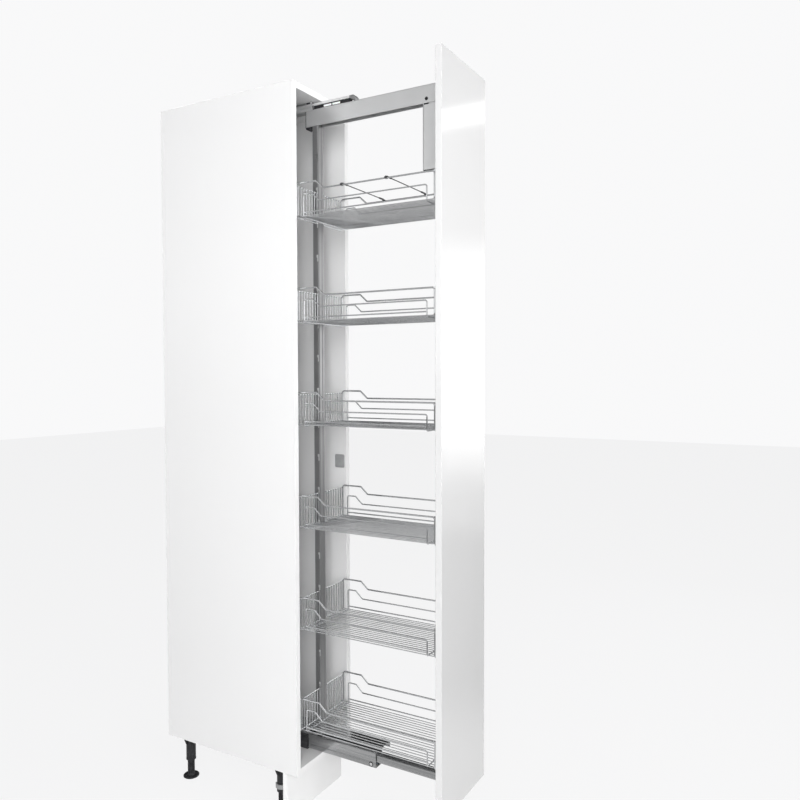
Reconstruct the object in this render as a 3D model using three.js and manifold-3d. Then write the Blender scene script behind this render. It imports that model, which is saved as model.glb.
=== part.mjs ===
// Pull-out larder unit: a narrow tall kitchen cabinet with six wire baskets on a pull-out frame.
// Millimetres, +Z up. The front faces -Y and the pull-out is shown fully out, as the rest position.
// Every piece is drawn in the carcass frame: x = 0 on the centre line, y = 0 on the carcass front,
// z = 0 on the floor. The finished group is moved so that the middle of its outline is at y = 0.
import * as THREE from 'three';
import { mergeVertices } from 'three/addons/utils/BufferGeometryUtils.js';
import Module from 'manifold-3d';

// ---------------------------------------------------------------- driving dimensions
const SEAT_GAP = 0.3;            // between two pieces that touch
const RUN_GAP = 0.6;             // between two pieces that slide past each other

const CABINET_W = 300;
const CABINET_D = 560;
const CABINET_H = 2144;
const BOARD_T = 19;
const BACK_T = 16;

const LEG_H = 150;
const LEG_INSET_X = 45;          // leg axis from the cabinet's side
const LEG_FRONT_Y = 96;
const LEG_BACK_INSET = 60;       // leg axis from the cabinet's back
const LEG_FOOT_R = 27;
const LEG_FOOT_T = 6;
const LEG_STEM_R = 12;
const LEG_STEM_L = 100;
const LEG_SOCKET_WALL = 4.5;
const LEG_SOCKET_L = 90;
const LEG_FLANGE_R = 30;
const LEG_FLANGE_T = 5;
const PLINTH_T = 16;
const PLINTH_RECESS = 40;
const CLIP_H = 14;
const CLIP_ABOVE_SOCKET = 14;    // clip's lower edge over the socket's lower edge
const CLIP_WALL = 3.5;
const CLIP_ARM_W = 18;
const CLIP_MOUTH_W = 17;

const FRONT_T = 19;
const FRONT_REVEAL = 2;          // front smaller than the carcass on each side
const FRONT_BUMP = 2;            // air between the closed front and the carcass
const FRONT_EDGE_R = 1.2;
const TRAVEL_SHORT = 80;         // cabinet depth less the travel of the pull-out
const PROFILE_BACK_CLEAR = 4;    // from the fixed runner and guide profiles to the back board

// floor runner: a fixed channel, a middle channel in it and the frame's own rail inside that
const RUNNER_SHEET = 2;
const FIXED_RAIL_W = 48;
const FIXED_RAIL_H = 48.7;
const FIXED_RAIL_FRONT = 55;     // set back from the carcass front
const MIDDLE_RAIL_W = 40;
const MIDDLE_RAIL_H = 49.6;
const MIDDLE_RAIL_FRONT = 33;    // set back from the carcass front when closed
const MIDDLE_RAIL_STOP = 4;      // from its back end to the fixed rail's when closed
const MIDDLE_SLIT_W = 20;
const INNER_RAIL_W = 32;
const INNER_RAIL_H = 23;
const INNER_RAIL_BACK = 22;
const CHEEK_L = 42;              // open end of the inner rail, round its wheel
const CHEEK_DROP = 7.5;          // how far its cheeks reach below the rail
const WHEEL_PIN_R = 3;
const WHEEL_HUB_R = 5.6;
const WHEEL_TREAD_W = 16;
const FRONT_WHEEL_R = 7.2;
const FRONT_WHEEL_SETBACK = 17;  // from the middle rail's front end
const MIDDLE_WHEEL_R = 15;
const MIDDLE_WHEEL_SETBACK = 16; // from the middle rail's back end
const REAR_WHEEL_R = 17;
const REAR_WHEEL_SETBACK = 20;   // from the inner rail's back end
const PIN_HEAD_R = 5;
const PIN_HEAD_T = 1.1;
const BUFFER_W = 24;
const BUFFER_H = 22;

// frame of the pull-out
const TOP_RAIL_W = 27;
const TOP_RAIL_H = 54;
const TOP_RAIL_SHEET = 2;
const TOP_RAIL_BACK = 53.5;
const TOP_RAIL_CLEAR = 25;       // from the rail's top to the carcass top board
const RAIL_CAP_L = 18;
const RAIL_CAP_DROP = 8;
const UPRIGHT_W = 30;
const UPRIGHT_D = 21.5;
const UPRIGHT_SHEET = 2;
const UPRIGHT_FRONT = 3.5;
const UPRIGHT_RUNNER_CLEAR = 3;
const FOOT_W = 12;
const FOOT_PLUG_H = 45;
const SPLICE_L = 150;
const FRONT_POST_W = 30;
const FRONT_POST_D = 7.5;
const FRONT_POST_SHEET = 1.5;
const CORNER_BRACKET_W = 28;
const CORNER_BRACKET_BACK = 111; // from the front panel's back
const CORNER_BRACKET_H = 193;
const CORNER_TONGUE_H = 36;
const STRAP_T = 1.5;
const STRAP_H = 40;
const STRAP_EAR = 24;
const STRAP_AT = [0, 2, 4];      // above which baskets, counted from the lowest
const HOLE_PITCH_PER_BASKET = 3;
const SLOT_H = 22;
const SLOT_SETBACK = 2.3;        // from the upright's front face
const FRONT_SLOT_W = 3.5;
const FRONT_SLOT_SETBACK = 3;

// guide under the top board
const GUIDE_SHEET = 1.6;
const GUIDE_W = 34;
const GUIDE_H = 28.7;
const GUIDE_FRONT = 25;
const GUIDE_MIDDLE_W = 24;
const GUIDE_MIDDLE_H = 8;
const GUIDE_MIDDLE_DROP = 6;     // its top under the top board
const GUIDE_MIDDLE_OVER = 2;     // how far it reaches past the carriage when open
const GUIDE_MIDDLE_STOP = 36;    // from its back end to the fixed guide's when closed
const GUIDE_CAP_L = 21;
const GUIDE_CAP_H = 18;
const BUSH_L = 22;
const BUSH_DROP = 9;             // bush's lower edge under the middle profile's top
const CARRIAGE_W = 19;
const CARRIAGE_L = 134;
const CARRIAGE_BACK = 22;
const CARRIAGE_SOLE = 1.5;
const CARRIAGE_ROOF = 2;
const CARRIAGE_WINDOW_FROM = 36; // first window from the carriage's back end
const CARRIAGE_WINDOW_L = 31;
const CARRIAGE_POST_L = 2.5;
const GUIDE_ROLLER_SETBACK = 14;
const GUIDE_ROLLER_H = 4;
const GUIDE_PIN_R = 2;
const GUIDE_PIN_L = 7;

// baskets
const BASKETS = 6;
const TOP_BASKET_DROP = 313;     // from the top rail's underside to the top basket's floor
const BASKET_SIDE_CLEAR = 7;     // from a side board's inner face to the basket
const BASKET_FRONT_CLEAR = 12;   // from the front panel's back to the basket
const BASKET_FLOOR_RISE = 131;   // lowest basket's floor over the front panel's bottom edge
const RIM_WIRE = 5;
const LOOP_WIRE = 4;
const GRID_WIRE = 3;
const RIM_HIGH = 108;
const RIM_LOW = 84;
const RIM_FLAT_L = 73;           // raised part of the rim at the back
const RIM_SLOPE_L = 27;
const RIM_CORNER = 9;
const LOOP_HIGH = 74;
const LOOP_LOW = 50;
const LOOP_BACK_INSET = 25;      // loop's uprights from the basket's ends
const LOOP_FRONT_INSET = 30;
const LOOP_FLAT_L = 32;
const LOOP_SLOPE_L = 26;
const LOW_WIRE_RISE = 14;
const GRID_WIRES = 18;
const WELD = 0.3;                // overlap of welded wires
const REAR_BAR = 4;              // wire across the back; its inner ends hang in the upright's slots
const REAR_BAR_DROP = 8;         // its top under the rim's top
const NOTCH_CLEAR = 1.5;         // round the upright, where it stands in the basket's back
const HOOK_T = 3;                // front hooks
const HOOK_H = 8;
const HOOK_DROP = 10;            // hook's top edge under the rim's top
const HOOK_ARM_RISE = 8;
const HOOK_FINGER_T = 2.5;
const HOOK_REACH = 4;            // how far a hook reaches in through the post's wall

// dividers in the top basket, from the basket's back
const DIVIDERS = [169, 322];
const DIVIDER_WIRE = 4;
const DIVIDER_CLIP_L = 14;
const DIVIDER_CLIP_WALL = 2;

// small parts
const CAP_Y = 6;
const CAP_D = 38;
const CAP_H = 45;
const CAP_T = 3.5;
const CAP_CORNER = 5;
const CAP_RISE = 935;            // over the front panel's bottom edge
const SCREW_R = 5;
const SCREW_CROWN_R = 3;
const SCREW_HEAD_T = 1.8;
const SCREW_FROM_BRACKET = 14;   // screw axis from the bracket's back
const SCREW_RISE = 12.6;         // and over the rail's lower edge

// ---------------------------------------------------------------- worked out from them
const HALF_W = CABINET_W / 2;
const INNER_HALF_W = HALF_W - BOARD_T;
const FLOOR_BOARD_TOP = LEG_H + BOARD_T;
const CABINET_TOP = LEG_H + CABINET_H;
const TOP_BOARD_UNDER = CABINET_TOP - BOARD_T;
const BACK_FACE = CABINET_D - BACK_T;
const TRAVEL = CABINET_D - TRAVEL_SHORT;
const PANEL_BACK = -(TRAVEL + FRONT_BUMP);
const PANEL_BOTTOM = LEG_H + FRONT_REVEAL;
const PANEL_H = CABINET_H - 2 * FRONT_REVEAL;
const PANEL_W = CABINET_W - 2 * FRONT_REVEAL;
const FRAME_FRONT = PANEL_BACK + SEAT_GAP;

const FIXED_RAIL_Z = FLOOR_BOARD_TOP + SEAT_GAP;
const FIXED_RAIL_BACK = BACK_FACE - PROFILE_BACK_CLEAR;
const FIXED_RAIL_TRACK = FIXED_RAIL_Z + RUNNER_SHEET;
const MIDDLE_RAIL_Z = FIXED_RAIL_TRACK + RUN_GAP;
const MIDDLE_RAIL_TRACK = MIDDLE_RAIL_Z + RUNNER_SHEET;
const MIDDLE_RAIL_TOP = MIDDLE_RAIL_Z + MIDDLE_RAIL_H;
const MIDDLE_RAIL_OUT = TRAVEL / 2 - MIDDLE_RAIL_FRONT;
const MIDDLE_RAIL_END = FIXED_RAIL_BACK - MIDDLE_RAIL_STOP - TRAVEL / 2;
const INNER_RAIL_Z = MIDDLE_RAIL_TRACK + 2 * FRONT_WHEEL_R + 2 * SEAT_GAP + RUN_GAP;
const INNER_RAIL_TOP = INNER_RAIL_Z + INNER_RAIL_H;

const GUIDE_BACK = BACK_FACE - PROFILE_BACK_CLEAR;
const TOP_RAIL_TOP = TOP_BOARD_UNDER - TOP_RAIL_CLEAR;
const TOP_RAIL_UNDER = TOP_RAIL_TOP - TOP_RAIL_H;
const TOP_RAIL_INNER_HALF = TOP_RAIL_W / 2 - TOP_RAIL_SHEET - SEAT_GAP;
const UPRIGHT_BACK = UPRIGHT_FRONT + UPRIGHT_D;
const UPRIGHT_BOTTOM = MIDDLE_RAIL_TOP + UPRIGHT_RUNNER_CLEAR;
const UPRIGHT_TOP = TOP_RAIL_UNDER - SEAT_GAP;
const FRONT_POST_BACK = FRAME_FRONT + FRONT_POST_D;

const BASKET_W = 2 * (INNER_HALF_W - BASKET_SIDE_CLEAR);
const BASKET_FRONT = PANEL_BACK + BASKET_FRONT_CLEAR;
const SLOT_W = REAR_BAR + 2 * SEAT_GAP;
const GRID_BACK = UPRIGHT_FRONT + SLOT_SETBACK + SLOT_W / 2;
const BASKET_BACK = GRID_BACK + RIM_WIRE / 2;
const LOWEST_BASKET_Z = PANEL_BOTTOM + BASKET_FLOOR_RISE;
const TOP_BASKET_Z = TOP_RAIL_UNDER - TOP_BASKET_DROP;
const BASKET_PITCH = (TOP_BASKET_Z - LOWEST_BASKET_Z) / (BASKETS - 1);
const SLOT_PITCH = BASKET_PITCH / HOLE_PITCH_PER_BASKET;
const REAR_BAR_TOP = RIM_HIGH - REAR_BAR_DROP;
const FRONT_HOOK_TOP = RIM_LOW - HOOK_DROP;

// ---------------------------------------------------------------- geometry helpers
const wasm = await Module();
wasm.setup();

function toSolid(geometry) {
  const bare = geometry.clone();
  bare.deleteAttribute('normal');
  bare.deleteAttribute('uv');
  const merged = mergeVertices(bare, 1e-4);
  const mesh = new wasm.Mesh({
    numProp: 3,
    vertProperties: new Float32Array(merged.attributes.position.array),
    triVerts: new Uint32Array(merged.index.array),
  });
  return new wasm.Manifold(mesh);
}

function toGeometry(solid) {
  const mesh = solid.getMesh();
  const geometry = new THREE.BufferGeometry();
  geometry.setAttribute('position', new THREE.BufferAttribute(mesh.vertProperties.slice(), 3));
  geometry.setIndex(new THREE.BufferAttribute(mesh.triVerts.slice(), 1));
  geometry.computeVertexNormals();
  return geometry;
}

function join(...geometries) {
  const solids = geometries.map(toSolid);
  return toGeometry(solids.slice(1).reduce((sum, solid) => sum.add(solid), solids[0]));
}

function cut(geometry, ...tools) {
  return toGeometry(tools.map(toSolid).reduce((rest, tool) => rest.subtract(tool), toSolid(geometry)));
}

// a box between two corners; the x limits may come in either order
function block(xa, xb, y0, y1, z0, z1) {
  const geometry = new THREE.BoxGeometry(Math.abs(xb - xa), y1 - y0, z1 - z0);
  return geometry.translate((xa + xb) / 2, (y0 + y1) / 2, (z0 + z1) / 2);
}

// a box of a given width about x = 0
function centredBlock(width, y0, y1, z0, z1) {
  return block(-width / 2, width / 2, y0, y1, z0, z1);
}

function extrude(points, depth, axes, origin, bevel = 0) {
  const shape = new THREE.Shape(points.map(([u, v]) => new THREE.Vector2(u, v)));
  const options = { depth: depth - 2 * bevel, bevelEnabled: bevel > 0 };
  if (bevel > 0) {
    const edge = { bevelThickness: bevel, bevelSize: bevel, bevelOffset: -bevel, bevelSegments: 2 };
    Object.assign(options, edge);
  }
  const geometry = new THREE.ExtrudeGeometry(shape, options).translate(0, 0, bevel);
  geometry.applyMatrix4(new THREE.Matrix4().makeBasis(...axes));
  return geometry.translate(...origin);
}

const X = new THREE.Vector3(1, 0, 0);
const Y = new THREE.Vector3(0, 1, 0);
const Z = new THREE.Vector3(0, 0, 1);

// outline points are [y, z]
const alongX = (points, xa, xb) =>
  extrude(points, Math.abs(xb - xa), [Y, Z, X], [Math.min(xa, xb), 0, 0]);

// outline points are [x, z]
const alongY = (points, y0, y1, bevel = 0) =>
  extrude(points, y1 - y0, [X, Z, Y.clone().negate()], [0, y1, 0], bevel);

// outline points are [x, y]
const alongZ = (points, z0, z1) => extrude(points, z1 - z0, [X, Y, Z], [0, 0, z0]);

// the outline of a strip of constant width along a bent centre line, with mitred corners
function strip(path, width) {
  const points = path.map(([u, v]) => new THREE.Vector2(u, v));
  const headings = points.slice(1).map((point, i) => point.clone().sub(points[i]).normalize());
  const edges = points.map((point, i) => {
    const before = headings[Math.max(i - 1, 0)];
    const after = headings[Math.min(i, headings.length - 1)];
    const across = new THREE.Vector2(-before.y - after.y, before.x + after.x).normalize();
    const reach = width / 2 / across.dot(new THREE.Vector2(-before.y, before.x));
    return [point.clone().addScaledVector(across, reach), point.clone().addScaledVector(across, -reach)];
  });
  const left = edges.map(([a]) => [a.x, a.y]);
  const right = edges.map(([, b]) => [b.x, b.y]);
  return left.concat(right.reverse());
}

// a turned piece about a vertical axis; profile points are [radius, height]
function turned(profile, x, y, segments = 20) {
  const points = profile.map(([radius, height]) => new THREE.Vector2(radius, height));
  return new THREE.LatheGeometry(points, segments).rotateX(Math.PI / 2).translate(x, y, 0);
}

// a turned piece about an axis along x; profile points are [radius, x]
function turnedAlongX(profile, y, z, segments = 20) {
  return turned(profile, 0, 0, segments).rotateY(Math.PI / 2).translate(0, y, z);
}

function rodAlongX(radius, xa, xb, y, z) {
  return turnedAlongX([[0, xa], [radius, xa], [radius, xb], [0, xb]], y, z);
}

// a channel section about x = 0, open at the top, as outline points [x, z] over its base;
// with a slit width the walls turn in at the top and leave that slit
function channel(width, height, sheet, base, slit = 0) {
  const outer = width / 2;
  const inner = outer - sheet;
  const ends = slit > 0
    ? [[outer, height], [slit / 2, height], [slit / 2, height - sheet], [inner, height - sheet]]
    : [[outer, height], [inner, height]];
  const right = [[outer, 0], ...ends, [inner, sheet]];
  const left = right.map(([x, z]) => [-x, z]).reverse();
  return [...right, ...left].map(([x, z]) => [x, z + base]);
}

// the same section turned over, with its web at the top
function capChannel(width, height, sheet, top) {
  return channel(width, height, sheet, 0).map(([x, z]) => [x, top - z]).reverse();
}

// ---------------------------------------------------------------- materials
const material = (color, roughness, metalness) =>
  new THREE.MeshStandardMaterial({ color, roughness, metalness });
const WHITE_GLOSS = material(0xf4f4f3, 0.18, 0);
const WHITE_BOARD = material(0xe6e6e5, 0.55, 0);
const GREY_PLASTIC = material(0x8f9294, 0.6, 0);
const BLACK_PLASTIC = material(0x1b1c1e, 0.5, 0);
const NYLON = material(0xc9c8c2, 0.5, 0);
const CHROME = material(0xd4d7da, 0.12, 1);
const SATIN_STEEL = material(0xb4b6b8, 0.35, 0.9);
const DARK_STEEL = material(0x6b6e71, 0.45, 0.85);

const unit = new THREE.Group();
unit.name = 'pull_out_larder_unit';

function add(name, geometry, finish) {
  const mesh = new THREE.Mesh(geometry, finish);
  mesh.name = name;
  unit.add(mesh);
}

// ---------------------------------------------------------------- carcass and base
function makeCarcass() {
  const boardW = 2 * (INNER_HALF_W - SEAT_GAP);
  const boardBack = BACK_FACE - SEAT_GAP;
  add('side_panel_left', block(-HALF_W, -INNER_HALF_W, 0, boardBack, LEG_H, CABINET_TOP), WHITE_BOARD);
  add('side_panel_right', block(INNER_HALF_W, HALF_W, 0, boardBack, LEG_H, CABINET_TOP), WHITE_BOARD);
  add('bottom_panel', centredBlock(boardW, 0, boardBack, LEG_H, FLOOR_BOARD_TOP), WHITE_BOARD);
  add('top_panel', centredBlock(boardW, 0, boardBack, TOP_BOARD_UNDER, CABINET_TOP), WHITE_BOARD);
  add('back_panel', centredBlock(CABINET_W, BACK_FACE, CABINET_D, LEG_H, CABINET_TOP), WHITE_BOARD);
}

const LEG_BORE_R = LEG_STEM_R + SEAT_GAP;
const LEG_TUBE_R = LEG_BORE_R + LEG_SOCKET_WALL;
const LEG_SOCKET_TOP = LEG_H - SEAT_GAP;
const LEG_SOCKET_BOTTOM = LEG_SOCKET_TOP - LEG_SOCKET_L;

function makeLeg(name, x, y) {
  const flangeUnder = LEG_SOCKET_TOP - LEG_FLANGE_T;
  const socket = [[LEG_BORE_R, LEG_SOCKET_BOTTOM], [LEG_TUBE_R, LEG_SOCKET_BOTTOM],
    [LEG_TUBE_R, flangeUnder], [LEG_FLANGE_R, flangeUnder], [LEG_FLANGE_R, LEG_SOCKET_TOP],
    [LEG_BORE_R, LEG_SOCKET_TOP], [LEG_BORE_R, LEG_SOCKET_BOTTOM]];
  const foot = [[0, 0], [LEG_FOOT_R, 0], [LEG_FOOT_R, LEG_FOOT_T], [LEG_STEM_R, LEG_FOOT_T],
    [LEG_STEM_R, LEG_STEM_L], [0, LEG_STEM_L]];
  add(`${name}_socket`, turned(socket, x, y), BLACK_PLASTIC);
  add(`${name}_foot`, turned(foot, x, y), BLACK_PLASTIC);
}

function makePlinthClip(name, x) {
  const gripR = LEG_TUBE_R + SEAT_GAP;
  const plinthBack = PLINTH_RECESS + PLINTH_T + SEAT_GAP;
  const z0 = LEG_SOCKET_BOTTOM + CLIP_ABOVE_SOCKET;
  const z1 = z0 + CLIP_H;
  const disc = (radius, from, to) =>
    turned([[0, from], [radius, from], [radius, to], [0, to]], x, LEG_FRONT_Y);
  const arm = block(x - CLIP_ARM_W / 2, x + CLIP_ARM_W / 2, plinthBack, LEG_FRONT_Y, z0, z1);
  const mouthHalf = CLIP_MOUTH_W / 2;
  const mouth = block(x - mouthHalf, x + mouthHalf, LEG_FRONT_Y, LEG_FRONT_Y + 2 * gripR, z0 - 1, z1 + 1);
  const ring = join(disc(gripR + CLIP_WALL, z0, z1), arm);
  add(name, cut(ring, disc(gripR, z0 - 1, z1 + 1), mouth), GREY_PLASTIC);
}

function makeBase() {
  const legX = HALF_W - LEG_INSET_X;
  for (const [side, x] of [['left', -legX], ['right', legX]]) {
    makeLeg(`front_${side}_leg`, x, LEG_FRONT_Y);
    makeLeg(`back_${side}_leg`, x, CABINET_D - LEG_BACK_INSET);
    makePlinthClip(`plinth_clip_${side}`, x);
  }
  const plinth = centredBlock(CABINET_W, PLINTH_RECESS, PLINTH_RECESS + PLINTH_T, 0, LEG_H - SEAT_GAP);
  add('plinth_panel', plinth, WHITE_BOARD);
}

function makeWallCap() {
  const [y0, y1, z0] = [CAP_Y, CAP_Y + CAP_D, PANEL_BOTTOM + CAP_RISE];
  const z1 = z0 + CAP_H;
  const c = CAP_CORNER;
  const rounded = [[y0 + c, z0], [y1 - c, z0], [y1 - c / 4, z0 + c / 4], [y1, z0 + c],
    [y1, z1 - c], [y1 - c / 4, z1 - c / 4], [y1 - c, z1], [y0 + c, z1],
    [y0 + c / 4, z1 - c / 4], [y0, z1 - c], [y0, z0 + c], [y0 + c / 4, z0 + c / 4]];
  const wall = INNER_HALF_W - SEAT_GAP;
  add('side_wall_cover_cap', alongX(rounded, wall - CAP_T, wall), GREY_PLASTIC);
}

// ---------------------------------------------------------------- floor runner
function makeWheel(name, radius, halfLength, y, z) {
  const bore = WHEEL_PIN_R + SEAT_GAP;
  const tread = WHEEL_TREAD_W / 2;
  const profile = [[bore, -halfLength], [WHEEL_HUB_R, -halfLength], [WHEEL_HUB_R, -tread],
    [radius, -tread], [radius, tread], [WHEEL_HUB_R, tread], [WHEEL_HUB_R, halfLength],
    [bore, halfLength], [bore, -halfLength]];
  add(name, turnedAlongX(profile, y, z), NYLON);
}

// a pin through both walls, with a head on the outside at the left
function makeWheelPin(name, headX, y, z) {
  const left = headX - PIN_HEAD_T;
  const profile = [[0, left], [PIN_HEAD_R, left], [PIN_HEAD_R, headX], [WHEEL_PIN_R, headX],
    [WHEEL_PIN_R, -headX], [0, -headX]];
  add(name, turnedAlongX(profile, y, z), DARK_STEEL);
}

function makeFloorRunner() {
  const fixed = channel(FIXED_RAIL_W, FIXED_RAIL_H, RUNNER_SHEET, FIXED_RAIL_Z);
  add('floor_rail_fixed', alongY(fixed, FIXED_RAIL_FRONT, FIXED_RAIL_BACK), DARK_STEEL);

  const bufferFront = MIDDLE_RAIL_END + TRAVEL / 2 + SEAT_GAP;
  const buffer = centredBlock(BUFFER_W, bufferFront, BACK_FACE - SEAT_GAP,
    FIXED_RAIL_TRACK + SEAT_GAP, FIXED_RAIL_TRACK + SEAT_GAP + BUFFER_H);
  add('end_stop_buffer', buffer, BLACK_PLASTIC);

  // middle rail, with bores for two wheel pins and an opening for the wheel that reaches the fixed rail
  const frontWheelY = -MIDDLE_RAIL_OUT + FRONT_WHEEL_SETBACK;
  const frontWheelZ = INNER_RAIL_Z - SEAT_GAP - FRONT_WHEEL_R;
  const middleWheelY = MIDDLE_RAIL_END - MIDDLE_WHEEL_SETBACK;
  const middleWheelZ = FIXED_RAIL_TRACK + SEAT_GAP + MIDDLE_WHEEL_R;
  const section = channel(MIDDLE_RAIL_W, MIDDLE_RAIL_H, RUNNER_SHEET, MIDDLE_RAIL_Z, MIDDLE_SLIT_W);
  const boreR = WHEEL_PIN_R + SEAT_GAP;
  const opening = centredBlock(WHEEL_TREAD_W + 2 * RUN_GAP, middleWheelY - MIDDLE_WHEEL_R,
    MIDDLE_RAIL_END + 1, MIDDLE_RAIL_Z - 1, MIDDLE_RAIL_TRACK + 1);
  const middle = cut(alongY(section, -MIDDLE_RAIL_OUT, MIDDLE_RAIL_END), opening,
    rodAlongX(boreR, -MIDDLE_RAIL_W, MIDDLE_RAIL_W, frontWheelY, frontWheelZ),
    rodAlongX(boreR, -MIDDLE_RAIL_W, MIDDLE_RAIL_W, middleWheelY, middleWheelZ));
  add('floor_rail_middle', middle, SATIN_STEEL);
  const middleHubHalf = MIDDLE_RAIL_W / 2 - RUNNER_SHEET - RUN_GAP;
  const middleHeadX = -MIDDLE_RAIL_W / 2 - SEAT_GAP;
  makeWheel('middle_rail_front_wheel', FRONT_WHEEL_R, middleHubHalf, frontWheelY, frontWheelZ);
  makeWheelPin('middle_rail_front_pin', middleHeadX, frontWheelY, frontWheelZ);
  makeWheel('middle_rail_back_wheel', MIDDLE_WHEEL_R, middleHubHalf, middleWheelY, middleWheelZ);
  makeWheelPin('middle_rail_back_pin', middleHeadX, middleWheelY, middleWheelZ);

  // the frame's own rail, a tube whose open back end holds a wheel between two cheeks
  const rearWheelY = INNER_RAIL_BACK - REAR_WHEEL_SETBACK;
  const rearWheelZ = MIDDLE_RAIL_TRACK + SEAT_GAP + REAR_WHEEL_R;
  const wall = INNER_RAIL_W / 2 - RUNNER_SHEET;
  const cheekFront = INNER_RAIL_BACK - CHEEK_L;
  const outer = join(
    centredBlock(INNER_RAIL_W, FRAME_FRONT, INNER_RAIL_BACK, INNER_RAIL_Z, INNER_RAIL_TOP),
    centredBlock(INNER_RAIL_W, rearWheelY - WHEEL_HUB_R - RUNNER_SHEET, INNER_RAIL_BACK,
      INNER_RAIL_Z - CHEEK_DROP, INNER_RAIL_TOP),
  );
  const bore = centredBlock(2 * wall, FRAME_FRONT - 1, INNER_RAIL_BACK + 1,
    INNER_RAIL_Z + RUNNER_SHEET, INNER_RAIL_TOP - RUNNER_SHEET);
  const wheelRoom = centredBlock(2 * wall, cheekFront, INNER_RAIL_BACK + 1,
    INNER_RAIL_Z - CHEEK_DROP - 1, INNER_RAIL_TOP - RUNNER_SHEET);
  const pinBore = rodAlongX(boreR, -INNER_RAIL_W, INNER_RAIL_W, rearWheelY, rearWheelZ);
  add('floor_rail_inner', cut(outer, bore, wheelRoom, pinBore), SATIN_STEEL);
  makeWheel('inner_rail_wheel', REAR_WHEEL_R, wall - RUN_GAP, rearWheelY, rearWheelZ);
  makeWheelPin('inner_rail_pin', -INNER_RAIL_W / 2 - SEAT_GAP, rearWheelY, rearWheelZ);
}

// ---------------------------------------------------------------- guide under the top board
function makeTopGuide() {
  const guideTop = TOP_BOARD_UNDER - SEAT_GAP;
  const fixed = capChannel(GUIDE_W, GUIDE_H, GUIDE_SHEET, guideTop);
  add('top_guide_fixed', alongY(fixed, GUIDE_FRONT, GUIDE_BACK), SATIN_STEEL);

  const middleTop = TOP_BOARD_UNDER - GUIDE_MIDDLE_DROP;
  const middleFront = CARRIAGE_BACK - CARRIAGE_L - GUIDE_MIDDLE_OVER;
  const middleBack = GUIDE_BACK - GUIDE_MIDDLE_STOP - TRAVEL / 2;
  const middle = capChannel(GUIDE_MIDDLE_W, GUIDE_MIDDLE_H, GUIDE_SHEET, middleTop);
  add('top_guide_middle', alongY(middle, middleFront, middleBack), SATIN_STEEL);

  // two bushes fill the room between the profiles: one stays in the carcass, one rides along
  const bushTop = guideTop - GUIDE_SHEET - SEAT_GAP;
  const bushWidth = GUIDE_W - 2 * (GUIDE_SHEET + SEAT_GAP);
  const bushWall = (bushWidth - GUIDE_MIDDLE_W) / 2 - SEAT_GAP;
  const saddle = (y0) => {
    const whole = centredBlock(bushWidth, y0, y0 + BUSH_L, middleTop - BUSH_DROP, bushTop);
    const room = centredBlock(bushWidth - 2 * bushWall, y0 - 1, y0 + BUSH_L + 1,
      middleTop - BUSH_DROP - 1, middleTop + SEAT_GAP);
    return cut(whole, room);
  };
  add('top_guide_front_bush', saddle(GUIDE_FRONT + GUIDE_SHEET), BLACK_PLASTIC);
  add('top_guide_riding_bush', saddle(middleBack - BUSH_L), BLACK_PLASTIC);

  const capBack = middleFront - SEAT_GAP;
  const capFront = capBack - GUIDE_CAP_L;
  const cap = [[capFront, middleTop - GUIDE_CAP_H], [capBack, middleTop - GUIDE_MIDDLE_H],
    [capBack, middleTop], [capFront + GUIDE_CAP_L / 3, middleTop],
    [capFront, middleTop - GUIDE_MIDDLE_H]];
  add('top_guide_end_cap', alongX(cap, -GUIDE_MIDDLE_W / 2, GUIDE_MIDDLE_W / 2), DARK_STEEL);

  makeCarriage(middleTop - GUIDE_MIDDLE_H);
}

// a sole on the top rail, two windows, and two rollers that run between the middle profile's flanges
function makeCarriage(flangeUnder) {
  const bottom = TOP_RAIL_TOP + SEAT_GAP;
  const top = flangeUnder - SEAT_GAP;
  const front = CARRIAGE_BACK - CARRIAGE_L;
  const window = (back) => centredBlock(2 * CARRIAGE_W, back - CARRIAGE_WINDOW_L, back,
    bottom + CARRIAGE_SOLE, top - CARRIAGE_ROOF);
  const firstWindow = CARRIAGE_BACK - CARRIAGE_WINDOW_FROM;
  const rollerYs = [CARRIAGE_BACK - GUIDE_ROLLER_SETBACK, front + GUIDE_ROLLER_SETBACK];
  const pinHoles = rollerYs.map((y) => turned([[0, bottom - 1], [GUIDE_PIN_R + SEAT_GAP, bottom - 1],
    [GUIDE_PIN_R + SEAT_GAP, top + 1], [0, top + 1]], 0, y));
  const body = centredBlock(CARRIAGE_W, front, CARRIAGE_BACK, bottom, top);
  const second = firstWindow - CARRIAGE_WINDOW_L - CARRIAGE_POST_L;
  add('guide_carriage', cut(body, window(firstWindow), window(second), ...pinHoles), BLACK_PLASTIC);

  const rollerR = GUIDE_MIDDLE_W / 2 - GUIDE_SHEET - RUN_GAP;
  const rollerZ = top + SEAT_GAP;
  rollerYs.forEach((y, i) => {
    const pinEnd = rollerZ - GUIDE_PIN_L;
    const profile = [[0, pinEnd], [GUIDE_PIN_R, pinEnd], [GUIDE_PIN_R, rollerZ], [rollerR, rollerZ],
      [rollerR, rollerZ + GUIDE_ROLLER_H], [0, rollerZ + GUIDE_ROLLER_H]];
    add(`guide_roller_${i === 0 ? 'back' : 'front'}`, turned(profile, 0, y), NYLON);
  });
}

// ---------------------------------------------------------------- pull-out frame
// cutters for a column of slots through both side walls of a post, each from its lower edge up
function slotColumn(bottoms, y0, y1, reach) {
  return bottoms.map((bottom) => centredBlock(reach, y0, y1, bottom, bottom + SLOT_H));
}

// a channel standing upright, its web at the front
function postSection(width, depth, sheet, front) {
  const outer = width / 2;
  const inner = outer - sheet;
  return [[-outer, 0], [outer, 0], [outer, depth], [inner, depth], [inner, sheet], [-inner, sheet],
    [-inner, depth], [-outer, depth]].map(([x, y]) => [x, y + front]);
}

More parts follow.
